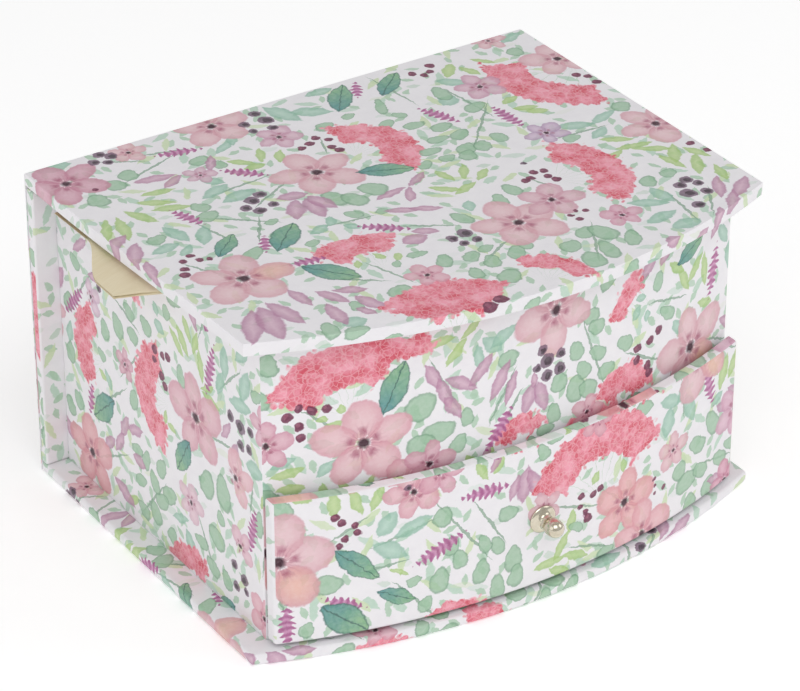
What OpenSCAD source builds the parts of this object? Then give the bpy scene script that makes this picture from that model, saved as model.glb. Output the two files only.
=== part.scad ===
// Bow-front keepsake and sewing box: a book-style cover of three boards round a cardboard body
// with an upper compartment, a seated tray and a drawer. Millimetres, +Z up, front towards -Y.
// The origin is the centre of the base board's underside.

/* [Cover] */
// Width of the lid, spine and base boards
cover_w = 200; // [160:1:260]
// Depth of the lid and base boards over the bow
cover_d = 160; // [130:1:210]
// Height from the table to the top of the lid
box_h = 116.5; // [95:0.5:160]
// How far the front edge bows forward
bow_depth = 20.5; // [12:0.5:28]
// Thickness of the lid board with its covering
lid_t = 4.5; // [3:0.1:6]
// Thickness of the base board with its covering
base_t = 4; // [2.5:0.1:6]
// Thickness of the spine board with its covering
spine_t = 4; // [2.5:0.1:6]
// Thickness of the paper that bridges the hinge
paper_t = 0.4; // [0.2:0.1:0.8]
// Open height of the paper hinge under the lid
hinge_gap = 0.8; // [0.5:0.1:1.5]

/* [Body] */
// How far the cover boards overhang each side wall
side_overhang = 8.5; // [4:0.5:12]
// How far the cover boards overhang the upper front wall
front_overhang = 8; // [6.5:0.5:12]
// Thickness of the body walls
wall_t = 2.5; // [1.5:0.1:4]
// Thickness of the body floor
floor_t = 2.5; // [1.5:0.1:4]
// Thickness of the shelf over the drawer
shelf_t = 2.5; // [1.5:0.1:4]
// Open height of the drawer bay
bay_h = 49.5; // [35:0.5:62]
// Gap between the walls and the closed lid
lid_gap = 1.2; // [1:0.1:2]
// Thickness of the felt linings
lining_t = 0.5; // [0.3:0.1:1]
// Gap round each lining and loose insert
lining_clear = 0.3; // [0.2:0.1:1]

/* [Lid pad] */
// Thickness of the lined pad under the lid
pad_t = 2; // [1.5:0.1:3]
// Gap between the lid pad and the walls
pad_clear = 1.5; // [1:0.1:3]

/* [Drawer] */
// Thickness of the bowed drawer front
face_t = 4.5; // [3:0.1:5]
// Gap between the drawer front and the body
face_gap = 1.5; // [0.5:0.1:2]
// Height of the drawer front above the base board
face_lift = 1.5; // [0.8:0.1:3]
// How far the drawer front laps over the shelf edge
face_lap = 3.5; // [2.5:0.1:6]
// How far the drawer front passes the body at each side
face_side = 0.2; // [0:0.1:2]
// Thickness of the drawer sides, back and inner front
drawer_wall_t = 2; // [1.2:0.1:3]
// Thickness of the drawer bottom
drawer_bottom_t = 2; // [1.2:0.1:3]
// Drop from the top of the drawer bay to the top of the drawer sides
drawer_headroom = 5.1; // [4.1:0.1:20]
// Gap between the drawer and each side of its bay
drawer_clear = 0.8; // [0.5:0.1:1.5]
// Running gap under the drawer
run_clear = 0.4; // [0.3:0.1:1]

/* [Knob] */
// Diameter of the knob's round foot
foot_d = 10; // [8:0.1:14]
// Thickness of the knob's round foot
foot_t = 1.4; // [1:0.1:2]
// Diameter of the knob's neck
neck_d = 4.4; // [4.2:0.1:5.5]
// Diameter of the knob's ball
ball_d = 6.4; // [6:0.1:10]
// Length of the knob from the drawer front
knob_len = 10.2; // [9.5:0.1:18]
// Height of the knob above the bottom edge of the drawer front
knob_rise = 25; // [15:0.5:40]
// Diameter of the knob screw
screw_d = 3; // [2.5:0.1:3.3]
// Radial gap round the knob screw in the drawer front
screw_clear = 0.2; // [0.1:0.05:0.4]
// Depth of the screw in the knob
screw_bite = 6; // [4:0.5:6.5]
// Diameter of the screw head
screw_head_d = 6; // [5:0.1:8]
// Thickness of the screw head
screw_head_t = 1.8; // [1.2:0.1:3]
// Diameter of the washer
washer_d = 8; // [7:0.1:11]
// Thickness of the washer
washer_t = 0.6; // [0.4:0.1:1]

/* [Tray] */
// Height of the tray over all
tray_h = 22; // [14:0.5:28]
// Thickness of the tray walls, dividers and floor
tray_t = 1.5; // [1:0.1:2.5]
// Gap between the tray and the body walls
tray_clear = 1; // [0.9:0.1:2]
// Drop from the top of the walls to the top of the tray
tray_drop = 2.3; // [1.8:0.1:6]
// Height of the dividers above the tray floor
divider_h = 17; // [8:0.5:18]
// Distance of the long divider from the middle of the box
divider_y = 8; // [-10:1:25]
// Thickness of the strips that carry the tray
rest_t = 1.8; // [1.2:0.1:3]
// Distance of each carrying strip from the ends of its side wall
rest_inset = 12; // [5:1:25]

/* [Ribbon] */
// Width of the ribbon stays
ribbon_w = 12; // [8:0.5:15]
// Thickness of the ribbon stays
ribbon_t = 0.3; // [0.2:0.05:0.5]
// Distance from the hinge to each ribbon's fixed end
stay_reach = 85; // [70:1:100]
// Length of each half of a ribbon, from its fixed end to its fold
stay_half = 65; // [50:1:75]
// Gap between the two halves of a folded ribbon
fold_gap = 0.8; // [0.5:0.1:2]
// How steeply the folded ribbon hangs outwards
stay_slant = 20; // [12:1:40]
// Gap between the wall and the folded ribbon
stay_off = 5; // [3:0.5:7]
// Length of ribbon that is glued down inside the wall
glued_len = 18; // [10:1:20]

/* [Hidden] */
$fn = 180;

// Every bowed edge is an arc about one vertical line, so the gaps between them stay even.
bow_r = (cover_w * cover_w / 4 + bow_depth * bow_depth) / (2 * bow_depth);
bow_y = bow_r - cover_d / 2;
far_y = cover_d;
cover_x = cover_w / 2;
back_y = cover_d / 2;

// Heights, from the table up
lid_z = box_h - lid_t;
wall_top = lid_z - lid_gap;
floor_top = base_t + floor_t;
shelf_z = floor_top + bay_h;
shelf_top = shelf_z + shelf_t;

// Body outline
body_x = cover_x - side_overhang;
body_r = bow_r - front_overhang;
body_back = back_y - spine_t;
inner_x = body_x - wall_t;
inner_r = body_r - wall_t;
inner_back = body_back - wall_t;

// Drawer outline
face_back_r = body_r + face_gap;
face_r = face_back_r + face_t;
face_x = body_x + face_side;
face_z = base_t + face_lift;
face_top = shelf_z + face_lap;
drawer_x = inner_x - drawer_clear;
drawer_back_y = inner_back - drawer_clear;
drawer_z = floor_top + run_clear;
drawer_in_x = drawer_x - drawer_wall_t;
drawer_in_r = face_back_r - drawer_wall_t;
drawer_in_back = drawer_back_y - drawer_wall_t;
drawer_in_z = drawer_z + drawer_bottom_t;
drawer_wall_h = floor_top + bay_h - drawer_headroom - drawer_in_z;

// Knob
knob_z = face_z + knob_rise;
face_y = bow_y - face_r;
screw_seat_y = bow_y - drawer_in_r;
ball_r = ball_d / 2;
foot_bevel = foot_t / 3;
// The washer's rim bears on the bowed inner front, so it stands off by the depth of the bow there.
seat_clear = 0.015;
washer_y = bow_y - sqrt(drawer_in_r * drawer_in_r - washer_d * washer_d / 4) + seat_clear;

// Tray outline
tray_x = inner_x - tray_clear;
tray_r = inner_r - tray_clear;
tray_back = inner_back - tray_clear;
tray_top = wall_top - tray_drop;
tray_z = tray_top - tray_h;
tray_in_x = tray_x - tray_t;
tray_in_r = tray_r - tray_t;
tray_in_back = tray_back - tray_t;
tray_in_z = tray_z + tray_t;
side_front = bow_y - sqrt(inner_r * inner_r - inner_x * inner_x);

// Ribbon
stay_y = back_y - stay_reach;
stay_x = body_x + stay_off;

paper_colour = "mistyrose";
board_colour = "lavenderblush";
inside_colour = "ivory";
ribbon_colour = "cornsilk";
metal_colour = "palegoldenrod";

// The area inside the arc of the given radius, from x0 to x1, with its back edge at y = back.
module bow_area(radius, x0, x1, back) {
    intersection() {
        translate([x0, bow_y - radius]) square([x1 - x0, back - bow_y + radius]);
        translate([0, bow_y]) circle(r = radius);
    }
}

// A flat board with a bowed front edge.
module bow_board(radius, half_w, back, z, t) {
    translate([0, 0, z]) linear_extrude(t) bow_area(radius, -half_w, half_w, back);
}

// A bowed wall of even thickness between two arcs.
module bow_wall(outer_r, t, half_w, z, h) {
    translate([0, 0, z]) linear_extrude(h) difference() {
        bow_area(outer_r, -half_w, half_w, 0);
        translate([0, bow_y]) circle(r = outer_r - t);
    }
}

// An upright wall from front to back whose front end follows the arc.
module side_board(radius, x0, x1, back, z, h) {
    translate([0, 0, z]) linear_extrude(h) bow_area(radius, x0, x1, back);
}

// A straight upright wall across the box.
module cross_board(half_w, y, t, z, h) {
    translate([-half_w, y, z]) cube([2 * half_w, t, h]);
}

module on_right() {
    mirror([1, 0, 0]) children();
}

// A round hole or shaft along Y.
module along_y(d, y0, y1) {
    translate([0, y1, knob_z]) rotate([90, 0, 0]) cylinder(d = d, h = y1 - y0);
}

module base_board() {
    color(paper_colour) bow_board(bow_r, cover_x, back_y, 0, base_t);
}

module spine_board() {
    color(paper_colour) cross_board(cover_x, body_back, spine_t, base_t, lid_z - hinge_gap - base_t);
}

module spine_cover_paper() {
    color(paper_colour) cross_board(cover_x, back_y, paper_t, paper_t, lid_z - hinge_gap - paper_t);
}

module body_floor() {
    color(inside_colour) bow_board(body_r, inner_x, inner_back, base_t, floor_t);
}

module left_wall() {
    color(board_colour) side_board(body_r, -body_x, -inner_x, body_back, base_t, wall_top - base_t);
}

module right_wall() {
    color(board_colour) side_board(body_r, inner_x, body_x, body_back, base_t, wall_top - base_t);
}

module back_wall() {
    color(board_colour) cross_board(inner_x, inner_back, wall_t, base_t, wall_top - base_t);
}

module front_wall() {
    color(board_colour) bow_wall(body_r, wall_t, inner_x, shelf_top, wall_top - shelf_top);
}

module shelf() {
    color(inside_colour) bow_board(body_r, inner_x, inner_back, shelf_z, shelf_t);
}

module shelf_lining() {
    color(inside_colour) bow_board(
        inner_r - lining_clear, inner_x - rest_t - lining_clear,
        inner_back - lining_clear, shelf_top, lining_t
    );
}

module tray_rest_left() {
    color(inside_colour) translate([-inner_x, side_front + rest_inset, shelf_top])
        cube([rest_t, inner_back - side_front - 2 * rest_inset, tray_z - shelf_top]);
}

module tray_rest_right() {
    on_right() tray_rest_left();
}

module tray_floor() {
    color(inside_colour) bow_board(tray_r, tray_x, tray_back, tray_z, tray_t);
}

module tray_left_wall() {
    color(inside_colour)
        side_board(tray_r, -tray_x, -tray_in_x, tray_back, tray_in_z, tray_top - tray_in_z);
}

module tray_right_wall() {
    on_right() tray_left_wall();
}

module tray_back_wall() {
    color(inside_colour) cross_board(tray_in_x, tray_in_back, tray_t, tray_in_z, tray_top - tray_in_z);
}

module tray_front_wall() {
    color(inside_colour) bow_wall(tray_r, tray_t, tray_in_x, tray_in_z, tray_top - tray_in_z);
}

module tray_long_divider() {
    color(inside_colour) cross_board(tray_in_x, divider_y, tray_t, tray_in_z + lining_t, divider_h);
}

module tray_front_divider() {
    color(inside_colour)
        side_board(tray_in_r, -tray_t / 2, tray_t / 2, divider_y, tray_in_z + lining_t, divider_h);
}

module tray_back_dividers() {
    color(inside_colour) for (side = [-1, 1])
        translate([side * tray_in_x / 3 - tray_t / 2, divider_y + tray_t, tray_in_z + lining_t])
            cube([tray_t, tray_in_back - divider_y - tray_t, divider_h]);
}

module tray_lining() {
    color(inside_colour) bow_board(
        tray_in_r - lining_clear, tray_in_x - lining_clear,
        tray_in_back - lining_clear, tray_in_z, lining_t
    );
}

// The fixed end is glued down inside the wall and passes over its top edge.
module ribbon_left_wall_end() {
    color(ribbon_colour) {
        translate([-inner_x, stay_y - ribbon_w / 2, wall_top - glued_len])
            cube([ribbon_t, ribbon_w, glued_len + ribbon_t]);
        translate([-stay_x, stay_y - ribbon_w / 2, wall_top])
            cube([stay_x - inner_x, ribbon_w, ribbon_t]);
    }
}

module ribbon_right_wall_end() {
    on_right() ribbon_left_wall_end();
}

module lid_board() {
    color(paper_colour) bow_board(bow_r, cover_x, back_y, lid_z, lid_t);
}

module lid_hinge_paper() {
    color(paper_colour) cross_board(cover_x, back_y, paper_t, lid_z, lid_t - paper_t);
}

module lid_pad() {
    color(inside_colour)
        bow_board(inner_r - pad_clear, inner_x - pad_clear, inner_back - pad_clear, lid_z - pad_t, pad_t);
}

module ribbon_left_lid_end() {
    pad_edge = inner_x - pad_clear + lining_clear;
    color(ribbon_colour) translate([-stay_x, stay_y - ribbon_w / 2, lid_z - ribbon_t])
        cube([stay_x - pad_edge, ribbon_w, ribbon_t]);
}

module ribbon_right_lid_end() {
    on_right() ribbon_left_lid_end();
}

// Half of a folded ribbon: it hangs outwards along its inner edge, whose height is z.
module ribbon_half(z) {
    translate([-stay_x - ribbon_t, stay_y, z]) rotate([0, -stay_slant, 0])
        translate([-ribbon_w, 0, -ribbon_t]) cube([ribbon_w, stay_half, ribbon_t]);
}

module ribbon_left_lower() {
    color(ribbon_colour) ribbon_half(wall_top - fold_gap);
}

module ribbon_right_lower() {
    on_right() ribbon_left_lower();
}

module ribbon_left_upper() {
    color(ribbon_colour) ribbon_half(wall_top + ribbon_t);
}

module ribbon_right_upper() {
    on_right() ribbon_left_upper();
}

module drawer_front() {
    color(paper_colour) difference() {
        bow_wall(face_r, face_t, face_x, face_z, face_top - face_z);
        along_y(screw_d + 2 * screw_clear, face_y - face_t, face_y + 2 * face_t);
    }
}

module drawer_inner_front() {
    color(inside_colour) difference() {
        bow_wall(face_back_r, drawer_wall_t, drawer_x, drawer_in_z, drawer_wall_h);
        along_y(screw_d + 2 * screw_clear, face_y, screw_seat_y + drawer_wall_t);
    }
}

module drawer_left_side() {
    color(inside_colour)
        side_board(drawer_in_r, -drawer_x, -drawer_in_x, drawer_back_y, drawer_in_z, drawer_wall_h);
}

module drawer_right_side() {
    on_right() drawer_left_side();
}

module drawer_back() {
    color(inside_colour)
        cross_board(drawer_in_x, drawer_in_back, drawer_wall_t, drawer_in_z, drawer_wall_h);
}

module drawer_bottom() {
    color(inside_colour) bow_board(face_back_r, drawer_x, drawer_back_y, drawer_z, drawer_bottom_t);
}

module drawer_lining() {
    color(inside_colour) bow_board(
        drawer_in_r - lining_clear, drawer_in_x - lining_clear,
        drawer_in_back - lining_clear, drawer_in_z, lining_t
    );
}

// Outline of the knob, turned about its axis, with its foot at the origin.
module knob_profile() {
    intersection() {
        union() {
            polygon([[0, 0], [foot_d / 2, 0], [foot_d / 2, foot_t - foot_bevel],
                [foot_d / 2 - foot_bevel, foot_t], [0, foot_t]]);
            square([neck_d / 2, knob_len - ball_r]);
            translate([0, knob_len - ball_r]) circle(r = ball_r);
        }
        square([foot_d, knob_len]);
    }
}

module knob() {
    color(metal_colour) difference() {
        translate([0, face_y, knob_z]) rotate([90, 0, 0]) rotate_extrude() knob_profile();
        along_y(screw_d, face_y - screw_bite, face_y + 1);
    }
}

module knob_screw() {
    head_y = washer_y + washer_t;
    color("silver") {
        along_y(screw_d, face_y - screw_bite, head_y);
        along_y(screw_head_d, head_y, head_y + screw_head_t);
    }
}

module knob_washer() {
    color("silver") difference() {
        along_y(washer_d, washer_y, washer_y + washer_t);
        along_y(screw_d + 2 * screw_clear, washer_y - washer_t, washer_y + 2 * washer_t);
    }
}

base_board();
spine_board();
spine_cover_paper();
body_floor();
left_wall();
right_wall();
back_wall();
front_wall();
shelf();
shelf_lining();
tray_rest_left();
tray_rest_right();
tray_floor();
tray_left_wall();
tray_right_wall();
tray_back_wall();
tray_front_wall();
tray_long_divider();
tray_front_divider();
tray_back_dividers();
tray_lining();
ribbon_left_wall_end();
ribbon_right_wall_end();
lid_board();
lid_hinge_paper();
lid_pad();
ribbon_left_lid_end();
ribbon_right_lid_end();
ribbon_left_lower();
ribbon_right_lower();
ribbon_left_upper();
ribbon_right_upper();
drawer_front();
drawer_inner_front();
drawer_left_side();
drawer_right_side();
drawer_back();
drawer_bottom();
drawer_lining();
knob();
knob_screw();
knob_washer();
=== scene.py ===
"""Looks of a bow-front sewing box: printed boards, ribbon stays, a drawer and a lift-out tray."""

import logging
import math
from dataclasses import dataclass, field
from enum import Enum

import bpy
from mathutils import Euler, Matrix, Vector


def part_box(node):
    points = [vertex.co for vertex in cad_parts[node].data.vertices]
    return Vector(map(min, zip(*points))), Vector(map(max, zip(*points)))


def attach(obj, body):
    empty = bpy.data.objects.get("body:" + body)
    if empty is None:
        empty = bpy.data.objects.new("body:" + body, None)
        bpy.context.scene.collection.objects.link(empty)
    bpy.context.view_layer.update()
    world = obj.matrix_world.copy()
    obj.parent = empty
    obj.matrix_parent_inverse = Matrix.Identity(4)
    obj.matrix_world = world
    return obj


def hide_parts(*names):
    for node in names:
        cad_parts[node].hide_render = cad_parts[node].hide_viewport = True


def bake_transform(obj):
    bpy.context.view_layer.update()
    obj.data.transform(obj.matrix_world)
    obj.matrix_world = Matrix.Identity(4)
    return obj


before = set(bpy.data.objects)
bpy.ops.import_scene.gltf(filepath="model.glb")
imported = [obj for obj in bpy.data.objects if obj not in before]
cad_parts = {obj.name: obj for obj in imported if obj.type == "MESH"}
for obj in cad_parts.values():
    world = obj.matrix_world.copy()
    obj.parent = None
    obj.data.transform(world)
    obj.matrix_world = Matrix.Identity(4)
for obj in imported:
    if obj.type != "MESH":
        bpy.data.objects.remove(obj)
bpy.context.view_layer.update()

MM = 0.001
ARC_STEPS = 512
BOW_CENTRE_Y = 174.2 * MM
PRINT_UV = "print"
LOG = logging.getLogger("sewing_box")

Colour = tuple[float, float, float]
Point = tuple[float, float, float]


class Side(Enum):
    """Which side of the box a piece is on."""

    LEFT = -1
    RIGHT = 1


class Half(Enum):
    """Which half of a ribbon stay a piece is."""

    LOWER = "lower"
    UPPER = "upper"


class Sheet(Enum):
    """The three pieces of printed paper that the covers are cut from."""

    TOP = "top"
    FRONT = "front"
    SIDE = "side"


def srgb(code: str) -> Colour:
    """The linear colour of a hexadecimal screen colour.

    Args:
        code: Six hexadecimal digits.

    Returns:
        Red, green and blue from 0 to 1.
    """
    parts = [int(code[i : i + 2], 16) / 255 for i in (0, 2, 4)]
    return tuple(p / 12.92 if p <= 0.04045 else ((p + 0.055) / 1.055) ** 2.4 for p in parts)


# --------------------------------------------------------------------------- shader maths


class Val:
    """A number in a shader: an expression on it adds the Math nodes that work it out."""

    def __init__(self, dish: "Dish", socket: bpy.types.NodeSocket) -> None:
        """Wraps an output socket.

        Args:
            dish: The material's node builder.
            socket: The output socket.
        """
        self.dish = dish
        self.socket = socket

    def _op(self, operation: str, *values: object) -> "Val":
        """Adds one Math node.

        Args:
            operation: The node's operation.
            values: Its inputs.

        Returns:
            The node's result.
        """
        node = self.dish.add("ShaderNodeMath", {"operation": operation}, *values)
        return Val(self.dish, node.outputs[0])

    def __add__(self, other: object) -> "Val":
        """The sum."""
        return self._op("ADD", self, other)

    def __sub__(self, other: object) -> "Val":
        """The difference."""
        return self._op("SUBTRACT", self, other)

    def __mul__(self, other: object) -> "Val":
        """The product."""
        return self._op("MULTIPLY", self, other)

    def __abs__(self) -> "Val":
        """The size without its sign."""
        return self._op("ABSOLUTE", self)

    __radd__ = __add__
    __rmul__ = __mul__

    def fma(self, scale: object, offset: object, clamp: bool = False) -> "Val":
        """This value times scale plus offset.

        Args:
            scale: The factor.
            offset: What is added.
            clamp: Whether the result is kept from 0 to 1.

        Returns:
            The result.
        """
        result = self._op("MULTIPLY_ADD", self, scale, offset)
        return result.least(1.0).most(0.0) if clamp else result

    def cos(self) -> "Val":
        """The cosine."""
        return self._op("COSINE", self)

    def least(self, other: object) -> "Val":
        """The smaller of two."""
        return self._op("MINIMUM", self, other)

    def most(self, other: object) -> "Val":
        """The larger of two."""
        return self._op("MAXIMUM", self, other)


class Dish:
    """Builds one material's nodes."""

    def __init__(self, name: str) -> None:
        """Starts an empty material.

        Args:
            name: The material's name.
        """
        self.material = bpy.data.materials.new(name)
        self.material.use_nodes = True
        self.tree = self.material.node_tree
        self.tree.nodes.clear()

    def add(self, kind: str, settings: dict, *values: object, **named: object) -> bpy.types.Node:
        """Adds a node: its settings first, then the values or links of its sockets.

        Args:
            kind: The node's type.
            settings: Its own settings.
            values: Inputs in order; None leaves one alone.
            named: Inputs by name, with _ for a space.

        Returns:
            The node.
        """
        node = self.tree.nodes.new(kind)
        for key, setting in settings.items():
            setattr(node, key, setting)
        for socket, value in zip(node.inputs, values):
            self._feed(socket, value)
        for key, value in named.items():
            self._feed(node.inputs[key.replace("_", " ")], value)
        return node

    def _feed(self, socket: bpy.types.NodeSocket, value: object) -> None:
        """Links or sets one input.

        Args:
            socket: The input.
            value: A Val, an output socket, a number or a tuple; None leaves it alone.
        """
        if value is None:
            return
        if isinstance(value, Val):
            self.tree.links.new(value.socket, socket)
        elif isinstance(value, bpy.types.NodeSocket):
            self.tree.links.new(value, socket)
        elif socket.type == "RGBA" and len(value) == 3:
            socket.default_value = (*value, 1.0)
        else:
            socket.default_value = value

    def mix(self, factor: object, low: object, high: object) -> bpy.types.NodeSocket:
        """Mixes two colours.

        Args:
            factor: 0 for the first, 1 for the second.
            low: The first colour.
            high: The second colour.

        Returns:
            The mixed colour.
        """
        node = self.tree.nodes.new("ShaderNodeMix")
        node.data_type = "RGBA"
        for index, value in ((0, factor), (6, low), (7, high)):
            self._feed(node.inputs[index], value)
        return node.outputs[2]

    def vector(self, operation: str, *values: object) -> bpy.types.NodeSocket:
        """Works out a vector.

        Args:
            operation: The Vector Math node's operation.
            values: Its inputs.

        Returns:
            The vector.
        """
        return self.add("ShaderNodeVectorMath", {"operation": operation}, *values).outputs[0]

    def length(self, operation: str, *values: object) -> Val:
        """Works out a number from vectors.

        Args:
            operation: The Vector Math node's operation.
            values: Its inputs.

        Returns:
            The number.
        """
        return Val(self, self.add("ShaderNodeVectorMath", {"operation": operation}, *values).outputs[1])

    def pair(self, vector: object) -> tuple[Val, Val]:
        """The first two numbers of a vector."""
        return self.length("DOT_PRODUCT", vector, (1.0, 0.0, 0.0)), self.length("DOT_PRODUCT", vector, (0.0, 1.0, 0.0))

    def place(self) -> bpy.types.NodeSocket:
        """The Object coordinates, in metres."""
        return self.add("ShaderNodeTexCoord", {}).outputs["Object"]

    def uv(self) -> bpy.types.NodeSocket:
        """The piece's own print coordinates, in metres."""
        return self.add("ShaderNodeUVMap", {"uv_map": PRINT_UV}).outputs[0]

    def noise(self, where: object, scale: float, detail: float = 2.0, rough: float = 0.5) -> bpy.types.Node:
        """Adds a noise texture.

        Args:
            where: The coordinates.
            scale: Its scale.
            detail: Its octaves.
            rough: How strong the small octaves are.

        Returns:
            The node.
        """
        return self.add("ShaderNodeTexNoise", {}, Vector=where, Scale=scale, Detail=detail, Roughness=rough)

    def cells(self, where: object, scale: float, feature: str) -> bpy.types.Node:
        """Adds a cell texture.

        Args:
            where: The coordinates.
            scale: Its scale.
            feature: Which distance it gives.

        Returns:
            The node.
        """
        return self.add("ShaderNodeTexVoronoi", {"feature": feature}, Vector=where, Scale=scale, Randomness=1.0)

    def bump(self, height: object, strength: float, distance: float) -> bpy.types.NodeSocket:
        """A normal with a small relief.

        Args:
            height: The relief, from 0 to 1.
            strength: How strong it is.
            distance: Its depth in metres.

        Returns:
            The normal.
        """
        return self.add("ShaderNodeBump", {}, Strength=strength, Distance=distance, Height=height).outputs[0]

    def surface(self, **named: object) -> bpy.types.Material:
        """Ends the material in one shader.

        Args:
            named: The shader's inputs by name, with _ for a space.

        Returns:
            The material.
        """
        shader = self.add("ShaderNodeBsdfPrincipled", {}, **named)
        self.add("ShaderNodeOutputMaterial", {}, Surface=shader.outputs[0])
        return self.material


class Layer(Dish):
    """A node group that paints a few motifs over what is under them."""

    INPUTS = (("Flat", "NodeSocketVector"), ("Under", "NodeSocketColor"), ("Wash", "NodeSocketFloat"),
              ("Coral", "NodeSocketColor"), ("Scallop", "NodeSocketFloat"))

    def __init__(self, name: str) -> None:
        """Starts an empty group.

        Args:
            name: The group's name.
        """
        self.tree = bpy.data.node_groups.new(name, "ShaderNodeTree")
        for title, kind in self.INPUTS:
            self.tree.interface.new_socket(title, in_out="INPUT", socket_type=kind)
        self.tree.interface.new_socket("Colour", in_out="OUTPUT", socket_type="NodeSocketColor")
        given = self.add("NodeGroupInput", {}).outputs
        self.flat, self.under, self.coral = given[0], given[1], given[3]
        self.wash, self.scallop = Val(self, given[2]), Val(self, given[4])

    def close(self, colour: object) -> bpy.types.NodeTree:
        """Ends the group.

        Args:
            colour: What it gives.

        Returns:
            The group.
        """
        self.add("NodeGroupOutput", {}, colour)
        return self.tree


# --------------------------------------------------------------------------- the print


@dataclass(frozen=True)
class Blossom:
    """A flower: where, how wide, how turned, how many petals, and its petal colours."""

    x: float
    y: float
    r: float
    turn: float
    petals: int = 5
    pale: str = "efd6d9"
    deep: str = "dcabb7"
    odd: str = ""


@dataclass(frozen=True)
class Fan:
    """A crescent of small red blossoms on fine stems, about the point that the stems leave."""

    x: float
    y: float
    r: float
    thick: float
    turn: float
    spread: float


@dataclass(frozen=True)
class PrintArt:
    """Everything painted on one piece of printed paper, in millimetres and degrees."""

    blossoms: tuple
    fans: tuple
    teal: tuple
    sage: tuple
    mint: tuple
    lime: tuple
    mauve: tuple
    lavender: tuple
    berries: tuple
    plums: tuple
    stems: tuple


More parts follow.
